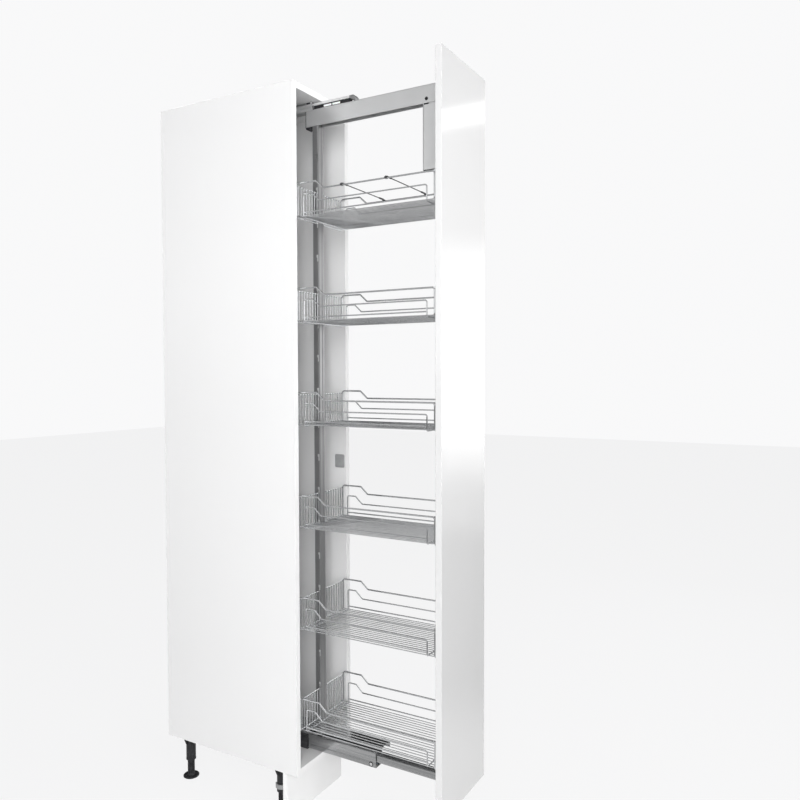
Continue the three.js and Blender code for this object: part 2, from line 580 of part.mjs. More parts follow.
function makeRearUpright() {
  const first = LOWEST_BASKET_Z + REAR_BAR_TOP - REAR_BAR - SEAT_GAP;
  const below = Math.floor((first - SLOT_H - UPRIGHT_BOTTOM) / SLOT_PITCH);
  const above = Math.floor((UPRIGHT_TOP - 2 * SLOT_H - first) / SLOT_PITCH);
  const levels = Array.from({ length: below + above + 1 }, (_, i) => first + (i - below) * SLOT_PITCH);
  const slotFront = UPRIGHT_FRONT + SLOT_SETBACK;
  const section = postSection(UPRIGHT_W, UPRIGHT_D, UPRIGHT_SHEET, UPRIGHT_FRONT);
  const slots = slotColumn(levels, slotFront, slotFront + SLOT_W, 2 * UPRIGHT_W);
  add('rear_upright', cut(alongZ(section, UPRIGHT_BOTTOM, UPRIGHT_TOP), ...slots), SATIN_STEEL);

  // a foot through the middle rail's slit and a splice into the top rail hold it at both ends
  const front = UPRIGHT_FRONT + UPRIGHT_SHEET + SEAT_GAP;
  const plugW = UPRIGHT_W - 2 * (UPRIGHT_SHEET + SEAT_GAP);
  const foot = join(
    centredBlock(FOOT_W, front, UPRIGHT_BACK, INNER_RAIL_TOP + SEAT_GAP, UPRIGHT_BOTTOM + FOOT_PLUG_H),
    centredBlock(plugW, front, UPRIGHT_BACK, UPRIGHT_BOTTOM, UPRIGHT_BOTTOM + FOOT_PLUG_H),
  );
  add('rear_upright_foot', foot, DARK_STEEL);
  const splice = centredBlock(2 * TOP_RAIL_INNER_HALF, front, UPRIGHT_BACK,
    UPRIGHT_TOP - SPLICE_L, TOP_RAIL_TOP - TOP_RAIL_SHEET - SEAT_GAP);
  add('rear_upright_splice', splice, DARK_STEEL);
}

function makeFrontPost() {
  const section = postSection(FRONT_POST_W, FRONT_POST_D, FRONT_POST_SHEET, FRAME_FRONT);
  const lowest = LOWEST_BASKET_Z + FRONT_HOOK_TOP - HOOK_H - SEAT_GAP;
  const levels = Array.from({ length: BASKETS }, (_, i) => lowest + i * BASKET_PITCH);
  const slotFront = FRAME_FRONT + FRONT_SLOT_SETBACK;
  const slots = slotColumn(levels, slotFront, slotFront + FRONT_SLOT_W, 2 * FRONT_POST_W);
  const post = alongZ(section, INNER_RAIL_TOP + SEAT_GAP, TOP_RAIL_UNDER - SEAT_GAP);
  add('front_upright', cut(post, ...slots), SATIN_STEEL);
}

function makeTopRail() {
  const section = capChannel(TOP_RAIL_W, TOP_RAIL_H, TOP_RAIL_SHEET, TOP_RAIL_TOP);
  add('top_rail', alongY(section, FRAME_FRONT, TOP_RAIL_BACK), SATIN_STEEL);

  const top = TOP_RAIL_TOP - TOP_RAIL_SHEET - SEAT_GAP;
  const front = TOP_RAIL_BACK - RAIL_CAP_L;
  const drop = RAIL_CAP_DROP;
  const cap = [[front, TOP_RAIL_UNDER - drop / 2], [TOP_RAIL_BACK - drop / 2, TOP_RAIL_UNDER - drop],
    [TOP_RAIL_BACK, TOP_RAIL_UNDER - drop / 2], [TOP_RAIL_BACK, top], [front, top]];
  add('top_rail_end_cap', alongX(cap, -TOP_RAIL_INNER_HALF, TOP_RAIL_INNER_HALF), BLACK_PLASTIC);
}

// a bent sheet under the top rail behind the front, with a narrower tongue up inside the rail
function makeCornerBracket() {
  const back = PANEL_BACK + CORNER_BRACKET_BACK;
  const front = FRONT_POST_BACK + SEAT_GAP;
  const top = TOP_RAIL_UNDER - SEAT_GAP;
  const hollow = (halfWidth, z0, z1) => centredBlock(2 * (halfWidth - UPRIGHT_SHEET), front - 1,
    back - UPRIGHT_SHEET, z0, z1);
  const half = CORNER_BRACKET_W / 2;
  const tongueTop = TOP_RAIL_UNDER + CORNER_TONGUE_H;
  const body = join(
    centredBlock(CORNER_BRACKET_W, front, back, top - CORNER_BRACKET_H, top),
    centredBlock(2 * TOP_RAIL_INNER_HALF, front, back, top - UPRIGHT_SHEET, tongueTop),
  );
  const bracket = cut(body, hollow(half, top - CORNER_BRACKET_H - 1, top - UPRIGHT_SHEET),
    hollow(TOP_RAIL_INNER_HALF, top, tongueTop + 1));
  add('front_corner_bracket', bracket, SATIN_STEEL);

  const face = -TOP_RAIL_W / 2 - SEAT_GAP;
  const crown = face - SCREW_HEAD_T;
  const screw = turnedAlongX([[0, crown], [SCREW_CROWN_R, crown], [SCREW_R, face], [0, face]],
    back - SCREW_FROM_BRACKET, TOP_RAIL_UNDER + SCREW_RISE, 12);
  add('top_rail_screw', screw, DARK_STEEL);
}

// bent straps that clamp the front upright to the front
function makePanelStraps() {
  const flat = FRAME_FRONT + STRAP_T / 2;
  const over = FRONT_POST_BACK + SEAT_GAP + STRAP_T / 2;
  const wall = FRONT_POST_W / 2 + SEAT_GAP + STRAP_T / 2;
  const path = [[-wall - STRAP_EAR, flat], [-wall, flat], [-wall, over], [wall, over], [wall, flat],
    [wall + STRAP_EAR, flat]];
  STRAP_AT.forEach((basket, i) => {
    const z = LOWEST_BASKET_Z + basket * BASKET_PITCH + (RIM_HIGH + BASKET_PITCH) / 2;
    const strap = alongZ(strip(path, STRAP_T), z - STRAP_H / 2, z + STRAP_H / 2);
    add(`front_panel_strap_${i + 1}`, strap, SATIN_STEEL);
  });
}

function makeFrontPanel() {
  const half = PANEL_W / 2;
  const top = PANEL_BOTTOM + PANEL_H;
  const face = [[-half, PANEL_BOTTOM], [half, PANEL_BOTTOM], [half, top], [-half, top]];
  add('front_panel', alongY(face, PANEL_BACK - FRONT_T, PANEL_BACK, FRONT_EDGE_R), WHITE_GLOSS);
}

// ---------------------------------------------------------------- baskets, drawn with the floor at z = 0
const GRID_FRONT = BASKET_FRONT + RIM_WIRE / 2;
const LOOP_BACK = BASKET_BACK - LOOP_BACK_INSET;
const LOOP_FRONT = BASKET_FRONT + LOOP_FRONT_INSET;
const RIM_INNER_HALF = BASKET_W / 2 - RIM_WIRE;

// one bent sheet makes the floor, back and front; rows of long openings leave its wires, and the
// upright stands in a notch of its back
function basketGrid() {
  const half = GRID_WIRE / 2;
  const path = [[GRID_BACK, REAR_BAR_TOP - REAR_BAR / 2], [GRID_BACK, half], [GRID_FRONT, half],
    [GRID_FRONT, RIM_LOW - RIM_WIRE / 2]];
  const outer = RIM_INNER_HALF - WELD;
  const pitch = (2 * outer - GRID_WIRE) / (GRID_WIRES - 1);
  const crossWires = [GRID_FRONT, LOOP_FRONT, LOOP_BACK, GRID_BACK];
  const openings = [];
  for (let i = 0; i < GRID_WIRES - 1; i += 1) {
    const x0 = -outer + GRID_WIRE + i * pitch;
    const x1 = x0 + pitch - GRID_WIRE;
    crossWires.slice(1).forEach((y, row) => {
      openings.push(block(x0, x1, crossWires[row] + half, y - half, -1, GRID_WIRE + 1));
    });
    openings.push(block(x0, x1, GRID_BACK - GRID_WIRE, GRID_BACK + GRID_WIRE, GRID_WIRE, RIM_HIGH));
    openings.push(block(x0, x1, GRID_FRONT - GRID_WIRE, GRID_FRONT + GRID_WIRE, GRID_WIRE, RIM_LOW));
  }
  const crossHalf = BASKET_W / 2 - 0.5;
  const bars = crossWires.map((y) => block(-crossHalf, crossHalf, y - half, y + half, 0, GRID_WIRE));
  const grid = join(cut(alongX(strip(path, GRID_WIRE), -outer, outer), ...openings), ...bars);
  const notch = centredBlock(UPRIGHT_W + 2 * NOTCH_CLEAR, LOOP_BACK + half, BASKET_BACK, -1, RIM_HIGH);
  return cut(grid, notch);
}

// the rim and the lower loop of one side
function basketSide(sign) {
  const rimIn = RIM_WIRE / 2;
  const rimHigh = RIM_HIGH - rimIn;
  const rimLow = RIM_LOW - rimIn;
  const rim = [[GRID_BACK, 0], [GRID_BACK, rimHigh], [GRID_BACK - RIM_FLAT_L, rimHigh],
    [GRID_BACK - RIM_FLAT_L - RIM_SLOPE_L, rimLow], [GRID_FRONT + RIM_CORNER, rimLow],
    [GRID_FRONT, rimLow - RIM_CORNER], [GRID_FRONT, 0]];
  const loopHigh = LOOP_HIGH - LOOP_WIRE / 2;
  const loopLow = LOOP_LOW - LOOP_WIRE / 2;
  const loop = [[LOOP_BACK, 0], [LOOP_BACK, loopHigh], [LOOP_BACK - LOOP_FLAT_L, loopHigh],
    [LOOP_BACK - LOOP_FLAT_L - LOOP_SLOPE_L, loopLow], [LOOP_FRONT, loopLow], [LOOP_FRONT, 0]];
  const loopX = sign * (RIM_INNER_HALF - LOOP_WIRE);
  const rimX = sign * RIM_INNER_HALF;
  return [
    alongX(strip(rim, RIM_WIRE), rimX, sign * BASKET_W / 2),
    alongX(strip(loop, LOOP_WIRE), loopX, rimX),
    block(loopX, rimX, LOOP_FRONT, LOOP_BACK, LOW_WIRE_RISE, LOW_WIRE_RISE + LOOP_WIRE),
  ];
}

// a hook each side of the front post: an arm beside it and a finger through the slot in its wall
function frontHooks() {
  const arm = FRONT_POST_W / 2 + RUN_GAP;
  const tip = FRONT_POST_W / 2 - FRONT_POST_SHEET - HOOK_REACH;
  const y0 = FRAME_FRONT + FRONT_SLOT_SETBACK + SEAT_GAP;
  const z0 = FRONT_HOOK_TOP - HOOK_H;
  return [-1, 1].flatMap((sign) => [
    block(sign * arm, sign * (arm + HOOK_T), y0, GRID_FRONT - WELD, z0, FRONT_HOOK_TOP + HOOK_ARM_RISE),
    block(sign * tip, sign * (arm + HOOK_T), y0, y0 + HOOK_FINGER_T, z0, FRONT_HOOK_TOP),
  ]);
}

// the wire across the basket's back, in two halves with their ends in the rear upright's slots
function rearBars() {
  const tip = UPRIGHT_W / 2 - UPRIGHT_SHEET - HOOK_REACH;
  const half = REAR_BAR / 2;
  return [-1, 1].map((sign) => block(sign * tip, sign * BASKET_W / 2, GRID_BACK - half, GRID_BACK + half,
    REAR_BAR_TOP - REAR_BAR, REAR_BAR_TOP));
}

function basketGeometry() {
  const half = BASKET_W / 2;
  return join(
    basketGrid(),
    ...basketSide(-1),
    ...basketSide(1),
    ...rearBars(),
    block(-half, half, BASKET_FRONT, BASKET_FRONT + RIM_WIRE, RIM_LOW - RIM_WIRE, RIM_LOW),
    ...frontHooks(),
  );
}

function makeBaskets() {
  const basket = basketGeometry();
  for (let i = 0; i < BASKETS; i += 1) {
    const floorZ = LOWEST_BASKET_Z + (BASKETS - 1 - i) * BASKET_PITCH;
    add(`basket_${i + 1}`, basket.clone().translate(0, 0, floorZ), CHROME);
  }
}

// a rod across the basket with a saddle over each rim wire
function makeDividers() {
  const rimTop = LOWEST_BASKET_Z + (BASKETS - 1) * BASKET_PITCH + RIM_LOW;
  const half = BASKET_W / 2;
  const wireZ = rimTop + SEAT_GAP;
  const wallOut = half + SEAT_GAP + DIVIDER_CLIP_WALL / 2;
  const wallIn = half - RIM_WIRE - SEAT_GAP - DIVIDER_CLIP_WALL / 2;
  const saddleZ = wireZ + DIVIDER_CLIP_WALL / 2;
  DIVIDERS.forEach((fromBack, i) => {
    const y = BASKET_BACK - fromBack;
    const rodHalf = DIVIDER_WIRE / 2;
    const rod = block(-half, half, y - rodHalf, y + rodHalf, wireZ, wireZ + DIVIDER_WIRE);
    const saddles = [-1, 1].map((sign) => {
      const path = [[wallOut, rimTop - RIM_WIRE], [wallOut, saddleZ], [wallIn, saddleZ],
        [wallIn, rimTop - RIM_WIRE]].map(([x, z]) => [sign * x, z]);
      const outline = strip(sign > 0 ? path : path.reverse(), DIVIDER_CLIP_WALL);
      return alongY(outline, y - DIVIDER_CLIP_L / 2, y + DIVIDER_CLIP_L / 2);
    });
    add(`basket_divider_${i + 1}`, join(rod, ...saddles), BLACK_PLASTIC);
  });
}

// ---------------------------------------------------------------- assembly
makeCarcass();
makeBase();
makeWallCap();
makeFloorRunner();
makeTopGuide();
makeRearUpright();
makeFrontPost();
makeTopRail();
makeCornerBracket();
makePanelStraps();
makeFrontPanel();
makeBaskets();
makeDividers();

// the origin is on the floor, in the middle of the outline of the open unit
unit.position.y = -(CABINET_D + PANEL_BACK - FRONT_T) / 2;

export default unit;
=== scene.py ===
# %% [markdown]
# # A pull-out larder unit
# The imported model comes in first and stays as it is: it says where each piece sits and what moves
# with what. Everything after that is looks. Blender works in metres, in the model's own frame: +Z
# is up, the front faces -Y, and the pull-out stands open. Sizes here are written in millimetres,
# and y counts from the carcass's front edge. `metres` turns such a point into the model's frame,
# and `span` reads a node's place back, so that the pieces follow the model.

# %% Load the frame
import bpy
import bmesh
import math
from mathutils import Matrix, Vector


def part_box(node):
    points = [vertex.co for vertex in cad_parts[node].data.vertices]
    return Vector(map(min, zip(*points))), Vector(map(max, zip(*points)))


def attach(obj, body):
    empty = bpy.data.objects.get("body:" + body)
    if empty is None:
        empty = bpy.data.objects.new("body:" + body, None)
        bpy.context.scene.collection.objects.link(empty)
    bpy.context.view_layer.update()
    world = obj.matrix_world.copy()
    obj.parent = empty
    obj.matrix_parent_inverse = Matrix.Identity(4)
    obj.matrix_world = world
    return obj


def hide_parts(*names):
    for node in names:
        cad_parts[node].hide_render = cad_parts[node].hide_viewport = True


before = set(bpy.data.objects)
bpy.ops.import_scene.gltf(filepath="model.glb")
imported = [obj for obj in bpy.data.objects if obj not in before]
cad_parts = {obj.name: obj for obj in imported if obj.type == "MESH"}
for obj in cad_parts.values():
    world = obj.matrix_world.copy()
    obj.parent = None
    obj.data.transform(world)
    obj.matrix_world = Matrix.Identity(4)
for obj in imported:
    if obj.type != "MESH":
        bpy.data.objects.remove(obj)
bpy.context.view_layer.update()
MM = 0.001
CARCASS_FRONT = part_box("side_panel_left")[0].y


def metres(point):
    """From millimetres, with y from the carcass's front edge, to the model's frame."""
    return Vector((point[0] * MM, point[1] * MM + CARCASS_FRONT, point[2] * MM))


def span(node):
    """A node's lowest and highest corners at rest, in the script's millimetres."""
    return [[round(c / MM, 2) for c in (p.x, p.y - CARCASS_FRONT, p.z)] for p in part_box(node)]


def centre_of(node):
    return [(a + b) / 2 for a, b in zip(*span(node))]


print("carcass front at", round(CARCASS_FRONT, 4), "and the front panel", span("front_panel"))

# %% [markdown]
# ## The camera
# The photograph was taken from the front left, a little above the middle of the unit. The camera's
# place and angles were found by matching edges of the model to the picture. A Track To constraint
# could aim it too, but a rotation matrix also holds the slight roll of the picture.

# %% Camera
CAMERA_PLACE = Vector((-1.95609, -1.43497, 1.40471))
CAMERA_YAW = math.radians(60.221)        # from +Y towards +X
CAMERA_PITCH = math.radians(-2.001)
CAMERA_ROLL = math.radians(-0.126)
LENS_MM, SENSOR_MM = 33.358, 36


def make_camera():
    ahead = Vector((math.sin(CAMERA_YAW) * math.cos(CAMERA_PITCH),
                    math.cos(CAMERA_YAW) * math.cos(CAMERA_PITCH), math.sin(CAMERA_PITCH)))
    level = Vector((math.cos(CAMERA_YAW), -math.sin(CAMERA_YAW), 0))
    tilt = Matrix.Rotation(CAMERA_ROLL, 3, -ahead)
    right = tilt @ level
    up = right.cross(ahead)
    data = bpy.data.cameras.new("camera")
    data.lens, data.sensor_width = LENS_MM, SENSOR_MM
    camera = bpy.data.objects.new("camera", data)
    axes = Matrix((right, up, -ahead)).transposed()
    camera.matrix_world = Matrix.Translation(CAMERA_PLACE) @ axes.to_4x4()
    bpy.context.collection.objects.link(camera)
    bpy.context.scene.camera = camera
    return camera


print("camera at", [round(v, 3) for v in make_camera().location])

# %% [markdown]
# ## Floor, background and light
# The picture is high-key: a white room with soft light from the left, the front and above. Chrome
# only looks like chrome when it has something dark to show, and a plain white room has nothing
# dark. So what lights the unit and what mirrors see are kept apart: Light Path picks out the glossy
# rays and gives them a room of their own, with dark bands between its lights, while the camera
# sees a plain pale backdrop. These helpers wire the shaders of floor, world and card.

# %% Shader helpers
WHITE = (1, 1, 1, 1)
BACKDROP_TONE = (0.945, 0.945, 0.95, 1)


def link(tree, start, end):
    tree.links.new(start, end)


def tones(tree, stops, source):
    """A smooth ramp of grey tones, from (position, tone) pairs."""
    node = tree.nodes.new("ShaderNodeValToRGB")
    ramp = node.color_ramp
    ramp.interpolation = "EASE"
    ramp.elements[0].position, ramp.elements[1].position = stops[0][0], stops[-1][0]
    for element, (_, tone) in zip(ramp.elements, (stops[0], stops[-1])):
        element.color = (tone, tone, tone, 1)
    for position, tone in stops[1:-1]:
        ramp.elements.new(position).color = (tone, tone, tone, 1)
    link(tree, source, node.inputs[0])
    return node.outputs[0]


def choose(tree, share, usual, special):
    """Mixes two shaders: the second one where the share is 1."""
    mix = tree.nodes.new("ShaderNodeMixShader")
    link(tree, share, mix.inputs[0])
    link(tree, usual, mix.inputs[1])
    link(tree, special, mix.inputs[2])
    return mix.outputs[0]


def spread(tree, source, low, high, to_low=0.0, to_high=1.0):
    """Takes values from one range to another."""
    node = tree.nodes.new("ShaderNodeMapRange")
    for label, value in (("From Min", low), ("From Max", high), ("To Min", to_low), ("To Max", to_high)):
        node.inputs[label].default_value = value
    link(tree, source, node.inputs["Value"])
    return node.outputs["Result"]


def light(tree, kind, colour, strength=1.0):
    """An Emission or a Background shader. Its colour is fixed or comes from another node."""
    node = tree.nodes.new("ShaderNode" + kind)
    node.inputs["Strength"].default_value = strength
    if isinstance(colour, tuple):
        node.inputs["Color"].default_value = colour
    else:
        link(tree, colour, node.inputs["Color"])
    return node.outputs[0]


def place_in(tree, kind):
    """Where the shaded point is, as a vector and as its x, y and z."""
    place = tree.nodes.new("ShaderNodeTexCoord").outputs[kind]
    split = tree.nodes.new("ShaderNodeSeparateXYZ")
    link(tree, place, split.inputs[0])
    return place, split.outputs


def vector_math(tree, operation, source):
    """A vector node with its first input linked; the second is left to the caller."""
    node = tree.nodes.new("ShaderNodeVectorMath")
    node.operation = operation
    link(tree, source, node.inputs[0])
    return node


def new_plane(name, corners, paint_name):
    """A flat piece of the stage with a material of its own."""
    mesh = bpy.data.meshes.new(name)
    mesh.from_pydata(corners, [], [(0, 1, 2, 3)])
    plane = bpy.data.objects.new(name, mesh)
    bpy.context.collection.objects.link(plane)
    paint = bpy.data.materials.new(paint_name)
    paint.use_nodes = True
    mesh.materials.append(paint)
    return plane, paint.node_tree


print("shader helpers ready")

# %% [markdown]
# The floor is one large plane that keeps the unit's shadow. A bright lamp could make it white, but
# it would burn out the boards too. Instead the camera sees mostly the backdrop's tone on it, so
# that only a faint edge is left between floor and background.

# %% Floor
FLOOR_HALF, FLOOR_ROUGHNESS = 14.0, 0.6
FLOOR_TONE = (0.84, 0.84, 0.84, 1)
BACKDROP_SHARE, BACKDROP_SHARE_SEEN = 0.15, 0.9      # for other rays, and for the camera
MIRRORED_FLOOR = [(0, 0.75), (0.1, 0.65), (0.2, 0.3), (0.4, 0.3), (1, 0.25)]
MIRRORED_FLOOR_END = 8                               # metres from the unit


def make_floor():
    h = FLOOR_HALF
    floor, tree = new_plane("floor", [(-h, -h, 0), (h, -h, 0), (h, h, 0), (-h, h, 0)], "floor_paint")
    shader = tree.nodes["Principled BSDF"]
    shader.inputs["Base Color"].default_value = FLOOR_TONE
    shader.inputs["Roughness"].default_value = FLOOR_ROUGHNESS
    path = tree.nodes.new("ShaderNodeLightPath")
    share = spread(tree, path.outputs["Is Camera Ray"], 0, 1, BACKDROP_SHARE, BACKDROP_SHARE_SEEN)
    seen = choose(tree, share, shader.outputs[0], light(tree, "Emission", BACKDROP_TONE))
    # mirrors see a floor that darkens away from the unit
    reach = vector_math(tree, "LENGTH", place_in(tree, "Object")[0]).outputs["Value"]
    dim = tones(tree, MIRRORED_FLOOR, spread(tree, reach, 0, MIRRORED_FLOOR_END))
    out = choose(tree, path.outputs["Is Glossy Ray"], seen, light(tree, "Emission", dim))
    link(tree, out, tree.nodes["Material Output"].inputs["Surface"])


make_floor()
print("floor", 2 * FLOOR_HALF, "m wide")

# %% [markdown]
# The world lights the unit evenly, as the walls of a white room do. For mirrors it is another room:
# pale walls, a dark band over them, lamps overhead, and a dark side behind the unit. A panorama
# picture could do that as well, but two ramps are enough, and each band can be moved by a number.

# %% World
SKY_STRENGTH, MIRROR_STRENGTH = 0.44, 1.5
MIRRORED_ROOM = [(0, 0.15), (0.48, 0.2), (0.52, 0.75), (0.59, 0.8), (0.63, 0.6), (0.69, 0.3),
                 (0.73, 0.02), (0.8, 0.03), (0.85, 0.75), (0.9, 0.75), (0.94, 0.1)]
MIRRORED_SIDES = [(0, 1), (0.42, 1), (0.54, 0.55), (0.7, 0.12), (1, 0.03)]
DARK_SIDE = (0.76, 0.65, 0)


def make_world():
    world = bpy.data.worlds.new("white_room")
    bpy.context.scene.world = world
    world.use_nodes = True
    tree = world.node_tree
    tree.nodes.clear()
    place, split = place_in(tree, "Generated")
    room = tones(tree, MIRRORED_ROOM, spread(tree, split["Z"], -1, 1))
    behind = vector_math(tree, "DOT_PRODUCT", place)
    behind.inputs[1].default_value = DARK_SIDE
    side = tones(tree, MIRRORED_SIDES, spread(tree, behind.outputs["Value"], -1, 1))
    lit = vector_math(tree, "SCALE", room)
    link(tree, side, lit.inputs["Scale"])
    path = tree.nodes.new("ShaderNodeLightPath")
    shader = choose(tree, path.outputs["Is Glossy Ray"], light(tree, "Background", WHITE, SKY_STRENGTH),
                    light(tree, "Background", lit.outputs["Vector"], MIRROR_STRENGTH))
    seen = light(tree, "Background", BACKDROP_TONE)
    for ray in ("Is Transmission Ray", "Is Camera Ray"):
        shader = choose(tree, path.outputs[ray], shader, seen)
    out = tree.nodes.new("ShaderNodeOutputWorld")
    link(tree, shader, out.inputs["Surface"])


make_world()
print("world with", len(MIRRORED_ROOM), "bands for mirrors")

# %% [markdown]
# A high-gloss front shows what stands beside it. A card at the right, as a photographer would put
# there, glows softly and fades at its edges. It is a plane that the camera and the diffuse rays
# don't see, so that it shows in lacquer and metal alone and lights nothing.

# %% Card
CARD_X, CARD_FRONT, CARD_BACK, CARD_TOP = 3.4, -4.5, 1.0, 4.6
CARD_STRENGTH = 2.6
CARD_BY_HEIGHT = [(0, 0), (0.08, 0.15), (0.24, 0.72), (0.46, 0.72), (0.56, 0.35), (0.72, 0.3),
                  (0.735, 0.72), (0.755, 0.72), (0.77, 0.24), (1, 0.1)]
CARD_BY_DEPTH = [(0, 0), (0.25, 1), (0.75, 1), (1, 0)]


def make_card():
    edges = ((CARD_FRONT, 0), (CARD_BACK, 0), (CARD_BACK, CARD_TOP), (CARD_FRONT, CARD_TOP))
    card, tree = new_plane("card_right", [(CARD_X, y, z) for y, z in edges], "card_glow")
    tree.nodes.clear()
    split = place_in(tree, "Object")[1]
    up = tones(tree, CARD_BY_HEIGHT, spread(tree, split["Z"], 0, CARD_TOP))
    across = tones(tree, CARD_BY_DEPTH, spread(tree, split["Y"], CARD_FRONT, CARD_BACK))
    glow = vector_math(tree, "MULTIPLY", up)
    link(tree, across, glow.inputs[1])
    both = tree.nodes.new("ShaderNodeAddShader")
    link(tree, light(tree, "Emission", glow.outputs["Vector"], CARD_STRENGTH), both.inputs[0])
    link(tree, tree.nodes.new("ShaderNodeBsdfTransparent").outputs[0], both.inputs[1])
    out = tree.nodes.new("ShaderNodeOutputMaterial")
    link(tree, both.outputs[0], out.inputs["Surface"])
    card.visible_camera = card.visible_diffuse = card.visible_shadow = False


make_card()
print("card", CARD_TOP, "m high")

# %% [markdown]
# Three area lamps give the soft light: a tall one like a window at the left, a smaller one in front
# that reaches into the unit, and a wide one overhead. Mirrors don't see them, because their plain
# rectangles would show in the chrome and the lacquer.

# %% Lamps
LAMPS = {                                # place, aim, width and height in metres, watts
    "window_left": ((-3.4, -2.1, 1.9), (0, 0, 1.15), (1.4, 3.2), 108),
    "window_front": ((-1.75, -4.3, 2.3), (0, 0, 0.5), (1.6, 1.6), 50),
    "ceiling": ((0, -1.4, 4.4), (0, -0.1, 1), (3, 2), 44),
}
for name, (place, aim, size, watts) in LAMPS.items():
    data = bpy.data.lights.new(name, "AREA")
    data.shape, data.size, data.size_y, data.energy = "RECTANGLE", *size, watts
    lamp = bpy.data.objects.new(name, data)
    lamp.location = place
    lamp.rotation_euler = (Vector(aim) - Vector(place)).to_track_quat("-Z", "Y").to_euler()
    lamp.visible_glossy = False
    bpy.context.collection.objects.link(lamp)
bpy.context.scene.view_settings.view_transform = "Standard"
print("lamps", list(LAMPS))

# %% [markdown]
# ## Finishes
# Each finish is a Principled shader with three kinds of detail on Object coordinates, so that the
# pattern stays on the piece when it moves: a faint change of colour, a change of roughness, and a
# fine bump. Photographs of real surfaces would need unwrapping; noise needs none and has no seams.
# A stretched noise makes the rolled direction of metal, a plain one makes the orange peel of
# lacquer and the grain of moulded plastic.

# %% Finish helpers
EVEN = (1, 1, 1)
NOISE_DETAIL = 3
NOISE_RANGE = (0.3, 0.7)                 # a noise seldom goes past these values


def socket(finish, name):
    return finish.node_tree.nodes["Principled BSDF"].inputs[name]


def new_finish(name, slot, metallic=0.0, **settings):
    finish = bpy.data.materials.new(name)
    finish.use_nodes = True
    socket(finish, "Metallic").default_value = metallic
    for label, value in settings.items():
        socket(finish, label.replace("_", " ")).default_value = value
    return finish


def noise(finish, scale, stretch, kind="Noise"):
    tree = finish.node_tree
    mapping = tree.nodes.new("ShaderNodeMapping")
    mapping.inputs["Scale"].default_value = stretch
    texture = tree.nodes.new("ShaderNodeTex" + kind)
    texture.inputs["Scale"].default_value = scale
    texture.inputs["Detail"].default_value = NOISE_DETAIL
    link(tree, tree.nodes.new("ShaderNodeTexCoord").outputs["Object"], mapping.inputs["Vector"])
    link(tree, mapping.outputs["Vector"], texture.inputs["Vector"])
    return texture.outputs["Distance" if kind == "Voronoi" else "Fac"]


def shade(finish, low, high, scale, stretch=EVEN, kind="Noise"):
    """The base colour wanders between two tones."""
    ramp = finish.node_tree.nodes.new("ShaderNodeValToRGB")
    for stop, position, tone in zip(ramp.color_ramp.elements, NOISE_RANGE, (low, high)):
        stop.position, stop.color = position, (*tone, 1)
    link(finish.node_tree, noise(finish, scale, stretch, kind), ramp.inputs["Fac"])
    link(finish.node_tree, ramp.outputs["Color"], socket(finish, "Base Color"))


def polish(finish, low, high, scale, stretch=EVEN):
    """The roughness wanders between two values."""
    rough = spread(finish.node_tree, noise(finish, scale, stretch), *NOISE_RANGE, low, high)
    link(finish.node_tree, rough, socket(finish, "Roughness"))


def grain(finish, depth, scale, stretch=EVEN):
    """A fine relief of the given depth in metres."""
    bump = finish.node_tree.nodes.new("ShaderNodeBump")
    bump.inputs["Distance"].default_value = depth
    link(finish.node_tree, noise(finish, scale, stretch), bump.inputs["Height"])
    link(finish.node_tree, bump.outputs["Normal"], socket(finish, "Normal"))


print("finish helpers ready")

# %% [markdown]
# The front is lacquered to a high gloss and polished: a clear coat lies over a smooth base, whose
# relief of 20 microns shows in reflections alone. A lower roughness alone would be glossy too, but a
# coat keeps its own clear reflection over the paint's soft one. The carcass boards are faced with
# white melamine, whose pearl finish is half glossy. Their edges carry a thin plastic band.

# %% White boards
lacquer = new_finish("white_high_gloss_lacquer", "white_gloss", Coat_Weight=1.0, Coat_Roughness=0.04)
shade(lacquer, (0.68, 0.68, 0.683), (0.7, 0.7, 0.703), 1.5)
polish(lacquer, 0.1, 0.14, 3.0)
grain(lacquer, 0.00002, 160)

melamine = new_finish("white_melamine", "white_board", Specular_IOR_Level=0.6)
shade(melamine, (0.81, 0.81, 0.813), (0.82, 0.82, 0.823), 2.0)
polish(melamine, 0.22, 0.26, 6.0)
grain(melamine, 0.00004, 900)

edge_band = new_finish("white_edge_band", "white_board")
shade(edge_band, (0.87, 0.87, 0.87), (0.9, 0.9, 0.9), 12, (1, 1, 0.05))
polish(edge_band, 0.3, 0.4, 40)
grain(edge_band, 0.00003, 300, (1, 1, 0.02))

# %% [markdown]
# Bright chrome is nearly a mirror: its shape comes from what it reflects. The pressed profiles have
# a satin silver coat, and the uprights a darker grey that is painted shade, for the shade their sides
# stand in. The guide's sliding profile is pale zinc.
# In the floor runner, the middle channel and the frame's rail are rolled steel with lines along
# their length, and the fixed channel is a dark zinc tone that is painted shade, for the shade under
# the lowest basket. The hidden fittings are dull zinc, with the faint crystals that zinc has:
# Voronoi cells make those better than noise does.

# %% Metals
chrome = new_finish("bright_chrome", "chrome_wire", 1.0)
shade(chrome, (0.74, 0.75, 0.765), (0.84, 0.85, 0.86), 60)
polish(chrome, 0.03, 0.07, 180)
grain(chrome, 0.00001, 700)

satin = new_finish("satin_silver_coat", "satin_steel", 0.8)
shade(satin, (0.77, 0.775, 0.78), (0.82, 0.825, 0.83), 9)
polish(satin, 0.32, 0.42, 24)
grain(satin, 0.00002, 1200)

pale_zinc = new_finish("pale_bright_zinc", "satin_steel", 0.5)
shade(pale_zinc, (0.78, 0.785, 0.79), (0.84, 0.845, 0.85), 40, (1, 0.1, 1))
polish(pale_zinc, 0.3, 0.42, 60)
grain(pale_zinc, 0.00002, 900)
